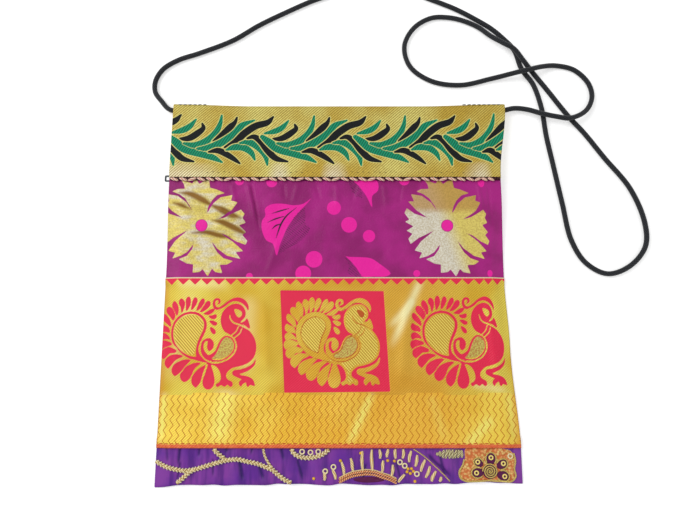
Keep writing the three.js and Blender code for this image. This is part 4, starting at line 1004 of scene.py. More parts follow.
class POUCH_OT_stage(bpy.types.Operator):
    """Floor, backdrop light, lamps and the camera over the pouch"""

    bl_idname = "pouch.stage"
    bl_label = "Stage and camera"

    def execute(self, context):
        scene = context.scene
        camera = bpy.data.objects.new("camera", bpy.data.cameras.new("camera"))
        scene.collection.objects.link(camera)
        camera.location = (0.00816, -0.05777, 0.36964)
        camera.rotation_euler = (math.radians(11), 0, 0)
        camera.data.lens = 33
        camera.data.sensor_width = 36
        camera.data.clip_start = 0.01
        scene.camera = camera
        scene.view_settings.view_transform = "Standard"

        half, z = 2000.0, -0.06
        corners = [(-half, -half, z), (half, -half, z), (half, half, z), (-half, half, z)]
        floor = make_mesh("floor", np.array(corners), [np.array([[0, 1, 2, 3]])])
        # Matt white photo paper, bright enough to go white round the pouch but keep its shadow
        material, tree = new_material("white photo paper")
        card = put(tree, "BsdfDiffuse", {"Color": (0.9, 0.9, 0.9, 1)})
        glow = put(tree, "Emission", {"Color": (1, 1, 1, 1), "Strength": 0.42})
        seen = put(tree, "LightPath")
        both = put(tree, "AddShader", {0: card, 1: glow})
        sort = put(tree, "MixShader", {0: (seen, "Is Camera Ray"), 1: card, 2: both})
        put(tree, "OutputMaterial", {"Surface": sort})
        floor.data.materials.append(material)

        world = bpy.data.worlds.new("studio")
        world.use_nodes = True
        tree = world.node_tree
        tree.nodes.clear()
        seen = put(tree, "LightPath")
        room = put(tree, "Background", {"Color": (1, 1, 1, 1), "Strength": 0.42})
        white = put(tree, "Background", {"Color": (1, 1, 1, 1), "Strength": 1.0})
        sort = put(tree, "MixShader", {0: (seen, "Is Camera Ray"), 1: room, 2: white})
        put(tree, "OutputWorld", {"Surface": sort})
        scene.world = world

        for name, place, size, power in (
            ("window", (-0.75, 0.35, 0.85), 0.7, 7.0),
            ("fill", (0.8, -0.3, 1.0), 1.0, 3.2),
        ):
            lamp = bpy.data.lights.new(name, "AREA")
            lamp.size = size
            lamp.energy = power
            thing = bpy.data.objects.new(name, lamp)
            scene.collection.objects.link(thing)
            thing.location = place
            towards = -np.array(place)
            thing.rotation_euler = Vector(towards).to_track_quat("-Z", "Y").to_euler()
        return {"FINISHED"}


class POUCH_OT_cord(bpy.types.Operator):
    """The round black shoulder cord"""

    bl_idname = "pouch.cord"
    bl_label = "Shoulder cord"

    def execute(self, context):
        diameter = sizes().cord_diameter / MM
        left = (BAG_X - HALF_WIDTH + 6, HALF_HEIGHT - 4.2, 3.4)
        right = (BAG_X + HALF_WIDTH - 6, HALF_HEIGHT - 4.2, 3.4)
        path = centripetal([left, *CORD_ROUTE, right], 1.1)
        cord = make_mesh("cord", *tube_points(path, diameter / 2, 14))
        # Braided polyester cord: soft black with fine slanting plaits
        material, tree = new_material("braided polyester")
        plait = ribs(tree, 0.0011, 38, coordinate="UV")
        cross = ribs(tree, 0.0011, -38, coordinate="UV")
        both = put(tree, "Math", {0: (plait, "Fac"), 1: (cross, "Fac")}, operation="MULTIPLY")
        # Painted highlight: the black cord turns lighter grey on the crown of each plait, where both ribs
        # are high
        tone = put(tree, "Mix", {0: both, 6: linear("#0E1014"), 7: linear("#3A3E46")}, **RGBA)
        surface(tree, {"Base Color": tone, "Roughness": 0.62, "Sheen Weight": 0.25}, [(both, 0.0002)])
        finish_piece(cord, material)
        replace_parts(cord, "shoulder_cord")
        return {"FINISHED"}


class POUCH_OT_purple_panel(bpy.types.Operator):
    """The purple silk of the back, turned up into the gathered lowest band"""

    bl_idname = "pouch.purple_panel"
    bl_label = "Purple silk"

    def execute(self, context):
        xs = across_pouch(0.55)
        turn = math.pi * PURPLE_RADIUS
        rise = PURPLE_TOP - PURPLE_TURN_Y
        s = np.concatenate(
            [
                np.linspace(0, PURPLE_BACK_RUN - 18, 16)[:-1],
                np.linspace(PURPLE_BACK_RUN - 18, PURPLE_BACK_RUN, 12)[:-1],
                PURPLE_BACK_RUN + np.linspace(0, turn, 11)[:-1],
                PURPLE_BACK_RUN + turn + np.linspace(0, rise, 46),
            ]
        )
        angle = np.clip((s - PURPLE_BACK_RUN) / PURPLE_RADIUS, 0, np.pi)
        flat = np.minimum(s, PURPLE_BACK_RUN)
        beyond = np.maximum(0, s - PURPLE_BACK_RUN - turn)
        y = PURPLE_BACK_EDGE - flat - PURPLE_RADIUS * np.sin(angle) + beyond
        z = CLOTH / 2 + PURPLE_RADIUS * (1 - np.cos(angle))
        x, y = np.meshgrid(xs, y)
        s = np.broadcast_to(s[:, None], x.shape)
        height = z[:, None] + purple_shape(x, s, y)
        middle = laid(x, y, height, bottom_edge(x, y))
        # The back faces down, so the run goes the other way and the front comes out on top
        front = ease((s - PURPLE_BACK_RUN) / turn)
        # Painted shade along the creases of the front band, stored for the material
        dark = np.clip(-creases(x, y, PURPLE_FOLDS) / 0.5, 0, 1) * front
        panel = cloth_mesh("purple_silk_panel", middle, CLOTH, {"crease": dark})
        # Shot silk dupion: a soft sheen that turns from violet to magenta with the folds
        material, tree = new_material("shot silk")
        warm = clouds(tree, 0.016, 3.0)
        base = put(tree, "Mix", {0: warm, 6: paint("purple"), 7: paint("purple_warm")}, **RGBA)
        # Painted shade of the gathers: darker vertical streaks in the silk's fold colour, also used as a
        # small bump
        shade_streaks = clouds(tree, 0.0042, 3.0, 0.34, 0.58, stretch=(1, 0.16, 1))
        mixed = put(tree, "Mix", {0: shade_streaks, 6: paint("purple_fold_shade"), 7: base}, **RGBA)
        soft = put(tree, "Mix", {0: 0.6, 6: base, 7: mixed}, **RGBA)
        # Painted shade: the silk darkens to deep violet along the creases
        crease = put(tree, "Attribute", attribute_name="crease")
        depth = put(tree, "Math", {0: (crease, "Fac"), 1: 0.85}, operation="MULTIPLY")
        soft = put(tree, "Mix", {0: depth, 6: soft, 7: linear("#2E1262")}, **RGBA)
        surface(
            tree,
            {
                "Base Color": soft,
                "Roughness": 0.45,
                "Sheen Weight": 0.15,
                "Sheen Tint": paint("purple_warm"),
            },
            [(shade_streaks, 0.00015)],
        )
        finish_piece(panel, material)
        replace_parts(panel, "purple_panel")
        return {"FINISHED"}


class POUCH_OT_peacock_band(bpy.types.Operator):
    """The yellow zari border with its peacocks, teeth and zigzag lines"""

    bl_idname = "pouch.peacock_band"
    bl_label = "Peacock border"

    def execute(self, context):
        xs = across_pouch(0.66)
        ys = grid(PEACOCK_BOTTOM, PEACOCK_TOP, 0.62)
        x, y = np.meshgrid(xs, ys)
        middle = laid(x, y, peacock_height(x, y))
        band = cloth_mesh("peacock_border", middle, CLOTH, peacock_fields(x, y))
        # Zari brocade: flat metallic yellow weft in fine slanting ribs, figures in red silk weft
        material, tree = new_material("zari brocade")
        rib = ribs(tree, sizes().zari_twill, 48)
        # Painted highlights: soft clouds of the zari colour that catches the light
        big = clouds(tree, 0.034, 2.0, 0.36, 0.62)
        gold = put(tree, "Mix", {0: big, 6: paint("zari"), 7: paint("zari_light")}, **RGBA)
        place = put(tree, "TexCoord")
        axes = put(tree, "SeparateXYZ", {0: (place, "Object")})
        # Painted shade: deeper orange gold, the colour of zari turned from the light, towards the middle
        # and the lower right
        warm = put(
            tree, "MapRange", {"Value": (axes, "X"), "From Min": -0.07, "From Max": 0.04}, **SMOOTH
        )
        cool = put(
            tree,
            "MapRange",
            {"Value": (axes, "X"), "From Min": 0.05, "From Max": 0.09, "To Min": 1, "To Max": 0},
            **SMOOTH,
        )
        amount = put(tree, "Math", {0: warm, 1: cool}, operation="MULTIPLY")
        amount = put(tree, "Math", {0: amount, 1: 0.62}, operation="MULTIPLY")
        gold = put(tree, "Mix", {0: amount, 6: gold, 7: paint("zari_deep")}, **RGBA)
        shade = put(tree, "Mix", {0: 0.5, 6: gold, 7: linear("#B07C1E")}, **RGBA)
        # Painted shade where the sides turn under: orange towards both edges
        far = put(tree, "Math", {0: (axes, "X"), 1: -BAG_X * MM}, operation="ADD")
        far = put(tree, "Math", {0: far}, operation="ABSOLUTE")
        rim = put(
            tree,
            "MapRange",
            {"Value": far, "From Min": 0.0965, "From Max": 0.1, "To Max": 0.75},
            **SMOOTH,
        )
        gold = put(tree, "Mix", {0: rim, 6: gold, 7: linear("#D98326")}, **RGBA)
        ribbed = put(tree, "Mix", {0: (rib, "Fac"), 6: shade, 7: gold}, **RGBA)
        # Zigzag lines: the place across is pushed left and right with the place along
        half_wave = 0.0028
        along = put(tree, "Math", {0: (axes, "Y"), 1: half_wave}, operation="PINGPONG")
        push = put(tree, "Math", {0: along, 1: 0.74, 2: (axes, "X")}, operation="MULTIPLY_ADD")
        pitch = sizes().zigzag
        across = put(tree, "Math", {0: push, 1: pitch / 2}, operation="PINGPONG")
        line = put(tree, "MapRange", {"Value": across, "From Min": 0.00012, "From Max": 0.0004}, **SMOOTH)
        glow = put(tree, "Mix", {0: 0.4, 6: gold, 7: linear("#FFC23A")}, **RGBA)
        # Painted highlights: pale yellow streaks along the SHINE lines, on the zigzag field and on the
        # ribbed zari
        shine = put(tree, "Attribute", attribute_name="shine")
        glow = put(tree, "Mix", {0: (shine, "Fac"), 6: glow, 7: linear("#FFF77E")}, **RGBA)
        zigzag = put(tree, "Mix", {0: line, 6: linear("#C77A1C"), 7: glow}, **RGBA)
        shine = put(tree, "Math", {0: (shine, "Fac"), 1: 0.8}, operation="MULTIPLY")
        ribbed = put(tree, "Mix", {0: shine, 6: ribbed, 7: linear("#FFF3B4")}, **RGBA)
        hatch = ribs(tree, 0.00125, -42)
        inner = put(tree, "Mix", {0: (hatch, "Fac"), 6: linear("#C08C26"), 7: linear("#F6E26A")}, **RGBA)
        wing = put(
            tree, "Mix", {0: clouds(tree, 0.0009), 6: linear("#C08A48"), 7: linear("#D2C864")}, **RGBA
        )
        dash = clouds(tree, 0.0016, 2.0)
        dashed = put(tree, "Mix", {0: dash, 6: linear("#E2653A"), 7: paint("selvedge")}, **RGBA)
        base = woven(
            tree,
            ribbed,
            [
                ("zigzag", zigzag, 0.25),
                ("inner", inner, 0.2),
                ("wing", wing, 0.2),
                ("red", paint("red"), 0.12),
                ("thin", linear("#C25A22"), 0.14),
                ("cream", paint("cream"), 0.1),
                ("selvedge", dashed, 0.15),
            ],
        )
        red = put(tree, "Attribute", attribute_name="red")
        silk = put(
            tree,
            "MapRange",
            {"Value": (red, "Fac"), "From Min": -0.3, "From Max": 0.3, "To Min": 0.2, "To Max": 0},
        )
        relief = put(tree, "MapRange", {"Value": (red, "Fac"), "From Min": -0.5, "From Max": 0.5})
        surface(
            tree,
            {"Base Color": base, "Metallic": silk, "Roughness": 0.46},
            [(relief, -0.00012), ((rib, "Fac"), 0.00012)],
        )
        finish_piece(band, material)
        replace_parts(band, "peacock_band")
        return {"FINISHED"}


def side_seam(name, side, ys, top, fields, material):
    """The turned cloth that closes a side between the back and a band: it runs from the back up
    to the band's height at each place, bulging out a little in between."""
    name = ("left_" if side < 0 else "right_") + name + "_seam"
    y, t = np.meshgrid(ys, np.linspace(0, 1, 7))
    edge = BAG_X + side * (HALF_WIDTH - SIDE_INSET + 0.4 * np.sin(np.pi * t))
    middle = laid(edge, y, CLOTH + (top - CLOTH) * t)
    plain = {key: np.full(y.shape, OUTSIDE) for key in fields}
    finish_piece(cloth_mesh(name, middle, CLOTH, plain), material)


class POUCH_OT_magenta_band(bpy.types.Operator):
    """The magenta satin band with two gold flowers"""

    bl_idname = "pouch.magenta_band"
    bl_label = "Magenta band"

    def execute(self, context):
        xs = across_pouch(0.55)
        ys = grid(MAGENTA_BOTTOM, MAGENTA_TOP, 0.55)
        x, y = np.meshgrid(xs, ys)
        middle = laid(x, y, magenta_height(x, y))
        fields = magenta_fields(x, y)
        band = cloth_mesh("magenta_satin_band", middle, CLOTH, fields)
        # Satin brocade: smooth magenta ground, shiny pink figures, flowers in metallic weft
        material, tree = new_material("magenta satin brocade")
        big = clouds(tree, 0.022, 3.0)
        ground = put(tree, "Mix", {0: big, 6: paint("magenta"), 7: linear("#96146E")}, **RGBA)
        place = put(tree, "TexCoord")
        axes = put(tree, "SeparateXYZ", {0: (place, "Object")})
        # The right flower is silvery at its left and brownish at its top, the left one is gold with
        # painted sheen: soft clouds of the silvery colour
        side = put(tree, "MapRange", {"Value": (axes, "X"), "From Min": -0.01, "From Max": 0.03})
        lean = put(tree, "Math", {0: (axes, "Y"), 1: 0.35, 2: (axes, "X")}, operation="MULTIPLY_ADD")
        low = put(tree, "MapRange", {"Value": lean, "From Min": 0.086, "From Max": 0.072}, **SMOOTH)
        sheen = clouds(tree, 0.009, 3.0, 0.38, 0.75, (1, 2.2, 1))
        left = put(tree, "Math", {0: 1.0, 1: side}, operation="SUBTRACT")
        gleam = put(tree, "Math", {0: left, 1: sheen}, operation="MULTIPLY")
        pale = put(tree, "Math", {0: side, 1: low, 2: gleam}, operation="MULTIPLY_ADD")
        metal = put(tree, "Mix", {0: pale, 6: paint("flower"), 7: paint("silver")}, **RGBA)
        high = put(
            tree,
            "MapRange",
            {"Value": (axes, "Y"), "From Min": 0.041, "From Max": 0.047, "To Max": 0.8},
            **SMOOTH,
        )
        high = put(tree, "Math", {0: side, 1: high}, operation="MULTIPLY")
        metal = put(tree, "Mix", {0: high, 6: metal, 7: linear("#C8964A")}, **RGBA)
        speck = clouds(tree, 0.0009, 2.0, 0.36, 0.64)
        dim = put(tree, "Mix", {0: 0.4, 6: metal, 7: linear("#A88A44")}, **RGBA)
        foil = put(tree, "Mix", {0: speck, 6: dim, 7: metal}, **RGBA)
        # Painted shade: the flower's gold turns brown along its folds
        brown = put(tree, "Attribute", attribute_name="brown")
        fold_darkening = put(
            tree, "MapRange", {"Value": (brown, "Fac"), "From Min": -0.9, "From Max": 1.3}, **SMOOTH
        )
        foil = put(tree, "Mix", {0: fold_darkening, 6: foil, 7: linear("#8E6420")}, **RGBA)
        base = woven(
            tree,
            ground,
            [
                ("flower", foil, 0.14),
                ("pink", paint("pink"), 0.16),
                ("dark", linear("#3E1238"), 0.16),
            ],
        )
        flower_field = put(tree, "Attribute", attribute_name="flower")
        shine = put(
            tree,
            "MapRange",
            {"Value": (flower_field, "Fac"), "From Min": -0.2, "From Max": 0.2, "To Max": 0.15},
        )
        relief = put(
            tree, "MapRange", {"Value": (flower_field, "Fac"), "From Min": -0.4, "From Max": 0.4}
        )
        weave = ribs(tree, 0.0009, 90)
        surface(
            tree,
            {
                "Base Color": base,
                "Metallic": shine,
                "Roughness": 0.45,
                "Sheen Weight": 0.2,
            },
            [(relief, 0.00012), (speck, 0.00006), ((weave, "Fac"), 0.00003)],
        )
        finish_piece(band, material)
        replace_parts(band, "magenta_band")
        for side, high in ((-1, ZIP_Y - 4.2), (1, GOLD_EDGE)):
            ys = np.linspace(PEACOCK_TOP + 5, high, 70)
            edge = BAG_X + side * (HALF_WIDTH - SIDE_INSET)
            side_seam("magenta", side, ys, magenta_height(edge, ys), fields, material)
        return {"FINISHED"}


class POUCH_OT_gold_band(bpy.types.Operator):
    """The gold border with its leaf vine, hemmed in at the top"""

    bl_idname = "pouch.gold_band"
    bl_label = "Leaf border"

    def execute(self, context):
        xs = across_pouch(0.55)
        radius = (GOLD_AT_TOP - SEAM_UNDERSIDE) / 2
        run = HALF_HEIGHT - radius - CLOTH / 2 - GOLD_EDGE
        turn = math.pi * radius
        s = np.concatenate(
            [
                np.linspace(0, run, 84)[:-1],
                run + np.linspace(0, turn, 13)[:-1],
                run + turn + np.linspace(0, HEM_DEPTH, 8),
            ]
        )
        angle = np.clip((s - run) / radius, 0, np.pi)
        beyond = np.maximum(0, s - run - turn)
        y = GOLD_EDGE + np.minimum(s, run) + radius * np.sin(angle) - beyond
        z = GOLD_AT_TOP + CLOTH / 2 - radius * (1 - np.cos(angle))
        over = (GOLD_OVER_ZIP - GOLD_AT_TOP) * (1 - ease((s - LEVEL) / (run - 2 * LEVEL)))
        x, y = np.meshgrid(xs, y)
        s = np.broadcast_to(s[:, None], x.shape)
        flat = ease((run - s) / 6) * ease(s / 5)
        swell = 0.25 + 0.25 * ripple(x, y, 23, 30) + creases(x, y, GOLD_FOLDS)
        height = (z + over)[:, None] + flat * np.maximum(swell, 0)
        # The hem sags between its two corners
        sag = 1.4 * ease((y - 84) / 24) * ease((HALF_WIDTH - np.abs(x - BAG_X)) / 50)
        middle = laid(x, y, height, -sag)
        # The vine is woven a little tighter towards the right
        tight = x + 0.038 * np.maximum(0, x - 18)
        fields = gold_fields(tight, np.where(s <= run + turn / 2, y, 200.0))
        band = cloth_mesh("leaf_border", middle, CLOTH, fields)
        # Metallic brocade: slanting gold floats with dark warp between, leaves in silk weft
        material, tree = new_material("gold brocade")
        rib = ribs(tree, sizes().twill, 47)
        # Painted highlights: soft clouds of the gold that catches the light
        big = clouds(tree, 0.03, 2.0, 0.35, 0.65)
        gold = put(tree, "Mix", {0: big, 6: paint("gold"), 7: paint("gold_light")}, **RGBA)
        fine = clouds(tree, 0.0012, 2.0, 0.3, 0.7)
        float_top = put(
            tree, "MapRange", {"Value": (rib, "Fac"), "From Min": 0.0, "From Max": 0.34}, **SMOOTH
        )
        tone = put(tree, "Mix", {0: float_top, 6: paint("gold_dark"), 7: gold}, **RGBA)
        dull = put(tree, "Mix", {0: 0.25, 6: tone, 7: paint("gold_dark")}, **RGBA)
        tone = put(tree, "Mix", {0: fine, 6: dull, 7: tone}, **RGBA)
        # The cloth turns to the light over the zip: pale patches along the lower edge
        gleam = put(tree, "Attribute", attribute_name="gleam")
        pale = put(tree, "MapRange", {"Value": (gleam, "Fac"), "From Min": 0.3, "To Max": 0.75})
        pale = put(tree, "Math", {0: pale, 1: float_top}, operation="MULTIPLY")
        tone = put(tree, "Mix", {0: pale, 6: tone, 7: linear("#FFF8DC")}, **RGBA)
        stripe = ribs(tree, 0.0014, 30)
        leaf = put(tree, "Mix", {0: (stripe, "Fac"), 6: paint("green"), 7: paint("green_light")}, **RGBA)
        base = woven(
            tree,
            tone,
            [
                ("leaf", linear("#EADF86"), 0.14),
                ("green", leaf, 0.14),
                ("black", paint("black"), 0.14),
            ],
        )
        covered = put(tree, "Attribute", attribute_name="leaf")
        metal = put(
            tree,
            "MapRange",
            {"Value": (covered, "Fac"), "From Min": 0.2, "From Max": 0.7, "To Min": 0.22, "To Max": 0},
        )
        surface(
            tree, {"Base Color": base, "Metallic": metal, "Roughness": 0.44}, [((rib, "Fac"), 0.00022)]
        )
        finish_piece(band, material)
        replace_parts(band, "gold_band")
        # The side seams close the border against the back; the left one leaves the pull free
        for side, low in ((-1, GOLD_EDGE + 6.5), (1, GOLD_EDGE + 0.5)):
            ys = np.linspace(low, HALF_HEIGHT - 2.0, 70)
            over = 1 - ease((ys - GOLD_EDGE - LEVEL) / (run - 2 * LEVEL))
            top = GOLD_AT_TOP + (GOLD_OVER_ZIP - GOLD_AT_TOP) * over
            side_seam("border", side, ys, top, fields, material)
        return {"FINISHED"}


GOLD_FOLDS = [
    (-80, 70, -70, 106, 4.0, 0.35), (-30, 68, -25, 108, 5.0, 0.3), (20, 66, 30, 108, 4.0, 0.3),
    (70, 68, 64, 108, 5.0, 0.35), (93, 70, 96, 105, 3.0, 0.3),
]


class POUCH_OT_picot(bpy.types.Operator):
    """The scalloped twisted edge under the leaf border"""

    bl_idname = "pouch.picot"
    bl_label = "Scalloped edge"

    def execute(self, context):
        top = GOLD_OVER_ZIP + CLOTH
        right = BAG_X + HALF_WIDTH - 0.6
        x = np.linspace(BAG_X - HALF_WIDTH + 0.8, right, 640)
        edge_x = x - drawn_in(x, np.full_like(x, GOLD_EDGE))
        under = np.stack([edge_x, GOLD_EDGE - 0.25 + 0 * x, top - 0.1 + 0 * x], 1)
        # Rayon gimp: pale pink and cream floss wrapped in slanting loops over a dark core; the cream is
        # painted as highlight on the crowns of the plies and the pink as shade between them
        gimp = plied("rayon gimp", "#C8706A", "#FFECD0", 0.0, 0.55)
        loops = []
        t = np.linspace(0, 1, 9)
        for i, start in enumerate(np.arange(x[0], right - 5.0, LOOP_PITCH)):
            px = start + LOOP_LENGTH * t
            py = GOLD_EDGE - 0.9 + (0.75 if i % 4 == 2 else -0.75) * (2 * t - 1)
            pz = top + 0.3 + 0.35 * np.sin(np.pi * t)
            width = 0.3 + 0.68 * np.sin(np.pi * t) ** 0.6
            line = laid(px, py, pz)
            loops.append(tube_points(line, width, *TWISTS["scallop"]))
        thread_piece("scalloped_edge", join(loops), gimp)
        core = tube_points(under, 1.25, *TWISTS["core"])
        dark = plied("dark maroon gimp", "#1E0A10", "#4A1820", 0.0, 0.7)
        thread_piece("gimp_core", core, dark)
        return {"FINISHED"}


class POUCH_OT_zip(bpy.types.Operator):
    """The zip: woven tapes, nylon coils and gunmetal slider, pull and stops"""

    bl_idname = "pouch.zip"
    bl_label = "Zip"

    def execute(self, context):
        # Polyester zip tape: matt, with fine ribs along its length
        tape, tree = new_material("polyester zip tape")
        rib = ribs(tree, 0.0006, 90)
        surface(
            tree,
            {"Base Color": paint("tape"), "Roughness": 0.85, "Sheen Weight": 0.2},
            [((rib, "Fac"), 0.00006)],
        )
        # Nylon monofilament: smooth with a dull shine
        nylon, tree = new_material("nylon coil")
        surface(tree, {"Base Color": paint("nylon"), "Roughness": 0.38})
        # Gunmetal lacquer over die-cast zinc: dark, smooth and half bright
        metal, tree = new_material("gunmetal lacquer")
        wear = clouds(tree, 0.0012, 3.0)
        rough = put(tree, "MapRange", {"Value": wear, "To Min": 0.26, "To Max": 0.42})
        surface(tree, {"Base Color": paint("gunmetal"), "Metallic": 0.9, "Roughness": rough})
        for side, sign in (("upper", 1), ("lower", -1)):
            xs = grid(BAG_X - TAPE_HALF, BAG_X + TAPE_HALF, 1.6)
            low, high = sorted(sign * edge for edge in TAPE_EDGES)
            x, y = np.meshgrid(xs, ZIP_Y + grid(low, high, 0.7))
            middle = np.stack([x, y, np.full(x.shape, TAPE_HEIGHT)], axis=-1)
            piece = cloth_mesh(f"woven_tape_{side}", middle, 0.3)
            finish_piece(piece, tape)
            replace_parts(piece, f"zip_tape_{side}")
            t = np.linspace(0, COIL_TURNS, COIL_TURNS * 12 + 1)
            along = BAG_X - COIL_HALF + 2 * COIL_HALF * t / COIL_TURNS
            across = ZIP_Y + sign * (1.4 + 0.5 * np.cos(2 * np.pi * t))
            height = COIL_HEIGHT + 0.28 * np.sin(2 * np.pi * t)
            path = np.stack([along, across, height], 1)
            coil = make_mesh(f"nylon_coil_{side}", *tube_points(path, 0.19, 6))
            finish_piece(coil, nylon)
            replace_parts(coil, f"zip_coil_{side}")
        for node in ("zip_stop_upper", "zip_stop_lower", "zip_stop_end", "zip_slider", "zip_pull"):
            thing = bpy.data.objects.get(node)
            if thing is None:
                raise RuntimeError(f"no CAD node {node}")
            thing.data.materials.clear()
            thing.data.materials.append(metal)
        return {"FINISHED"}


def stitch(start, end, lift, thread):
    """One stitch: a short thread that rises from the cloth and dips back in at both ends."""
    t = np.linspace(0, 1, 7)[:, None]
    path = np.array(start) * (1 - t) + np.array(end) * t
    path[:, 2] += lift * np.sin(np.pi * t[:, 0]) - thread * 0.4
    return tube_points(path, thread / 2, 6)


class POUCH_OT_stitches(bpy.types.Operator):
    """Stitches along the top edge and over the orange edge"""

    bl_idname = "pouch.stitches"
    bl_label = "Stitches"

    def execute(self, context):
        top = []
        for low, high in ((-96.0, -78.5), (76.5, 100.0)):
            for x in np.arange(low, high, 3.0):
                z = GOLD_AT_TOP + CLOTH - 0.28
                top.append(stitch((x, 110.6, z), (x + 1.9, 110.75, z), 0.22, 0.5))
        for x in np.arange(BAG_X - HALF_WIDTH + 2, BAG_X + HALF_WIDTH - 7, 3.3):
            y = GOLD_EDGE + 3.5 + 0.3 * math.sin(x)
            z = GOLD_OVER_ZIP + CLOTH + 0.05
            top.append(stitch((x, y, z), (x + 1.5, y + 0.1, z), 0.16, 0.32))
        # Cotton sewing thread: matt and slightly hairy
        dark, tree = new_material("black sewing thread")
        surface(tree, {"Base Color": linear("#17181B"), "Roughness": 0.8, "Sheen Weight": 0.2})
        thread_piece("top_stitches", join(top), dark)
        seam = []
        for x in np.arange(BAG_X - HALF_WIDTH + 1.5, BAG_X + HALF_WIDTH - 3.5, 3.1):
            wave = 0.15 * math.sin(x)
            y = PURPLE_TOP - 1.6 + wave
            ends = [(x, y), (x + 2.2, y + 0.1)]
            first, last = [
                (px, py, float(peacock_height(np.array(px), np.array(py))) + CLOTH / 2 + 0.02)
                for px, py in ends
            ]
            seam.append(stitch(first, last, 0.2, 0.45))
        thread, tree = new_material("red sewing thread")
        surface(tree, {"Base Color": paint("stitching"), "Roughness": 0.7, "Sheen Weight": 0.2})
        thread_piece("seam_stitches", join(seam), thread)
        return {"FINISHED"}


def silk_height(x, y):
    """Height of the upper side of the silk at a place on the finished bag."""
    return purple_top(x, y - bottom_edge(x, y))


def on_silk(rows, spacing, above):
    """A smooth line through the rows, laid on the silk and raised by above."""
    line = even_line(smooth_line(rows, 12), spacing)
    x, y = line[:, 0], line[:, 1]
    return np.stack([x, y, silk_height(x, y) + above], 1)


def sewn(rows, spacing, above, width, twist):
    """A cord of that half width and twist through the rows, laid on the silk."""
    return tube_points(on_silk(rows, spacing, above), width, *TWISTS[twist])


def bar(row, above):
    """A satin-stitch bar: a flattened tube, fuller in the middle, on the silk."""
    x0, y0, x1, y1 = row
    t = np.linspace(0, 1, 16)
    wobble = 0.22 * np.sin(5 * t + x0)
    x, y = x0 + (x1 - x0) * t + wobble, y0 + (y1 - y0) * t
    path = np.stack([x, y, silk_height(x, y) + above], 1)
    width = 0.5 + 0.5 * np.sin(np.pi * np.clip(t, 0.06, 0.94)) ** 0.6
    return tube_points(path, width, *TWISTS["bar"])


def ring(cx, cy, radius, above, thick=0.42):
    """A sequin: a flat ring standing on the cloth."""
    angle = np.linspace(0, 2 * np.pi, 25)
    x, y = cx + radius * np.cos(angle), cy + radius * np.sin(angle)
    z = float(silk_height(np.array(cx), np.array(cy))) + above
    path = np.stack([x, y, np.full_like(x, z)], 1)
    return tube_points(path, thick, 8, flat=0.6)


def dome(cx, cy, rx, ry, turn, above, height):
    """A domed disc on the silk: rings of points from the rim to the crown, and a flat base."""
    radii = np.linspace(1, 0, 9)[:-1]
    angle = 2 * np.pi * np.arange(28) / 28
    r, a = np.meshgrid(radii, angle, indexing="ij")
    u, v = r * np.cos(a) * rx, r * np.sin(a) * ry
    x = cx + u * math.cos(turn) - v * math.sin(turn)
    y = cy + u * math.sin(turn) + v * math.cos(turn)
    z = silk_height(x, y) + above + height * (1 - r**4)
    top = np.stack([x, y, z], -1)
    crown = top[-1].mean(0)
    foot = top[0] - [0, 0, 0.25]
    points = np.concatenate([top.reshape(-1, 3), crown[None], foot, foot.mean(0)[None]])
    index = np.arange(len(radii) * 28).reshape(len(radii), 28)
    nxt = np.roll(index, -1, axis=1)
    faces = [quads(index[:-1], nxt[:-1], nxt[1:], index[1:])]
    last = len(radii) * 28
    faces.append(np.stack([index[-1], nxt[-1], np.full(28, last)], 1))
    low = last + 1 + np.arange(28)
    low_next = np.roll(low, -1)
    faces.append(quads(low, low_next, nxt[0], index[0]))
    faces.append(np.stack([low_next, low, np.full(28, last + 29)], 1))
    uv = np.concatenate([np.stack([u, v], -1).reshape(-1, 2), np.zeros((30, 2))])
    return points, faces, uv, {"ply": np.ones(len(points))}


def plied(name, deep, bright, metallic, roughness):
    """A thread material with painted light: bright is a painted highlight on the crown of each ply, and
    deep a painted shade between two plies.
    """
    material, tree = new_material(name)
    ply = put(tree, "Attribute", attribute_name="ply")
    crown = put(tree, "MapRange", {"Value": (ply, "Fac"), "From Min": 0.12, "From Max": 0.6}, **SMOOTH)
    # Painted light: the highlight colour on each ply's crown, the shade colour between plies
    tone = put(tree, "Mix", {0: crown, 6: linear(deep), 7: linear(bright)}, **RGBA)
    surface(tree, {"Base Color": tone, "Metallic": metallic, "Roughness": roughness})
    return material


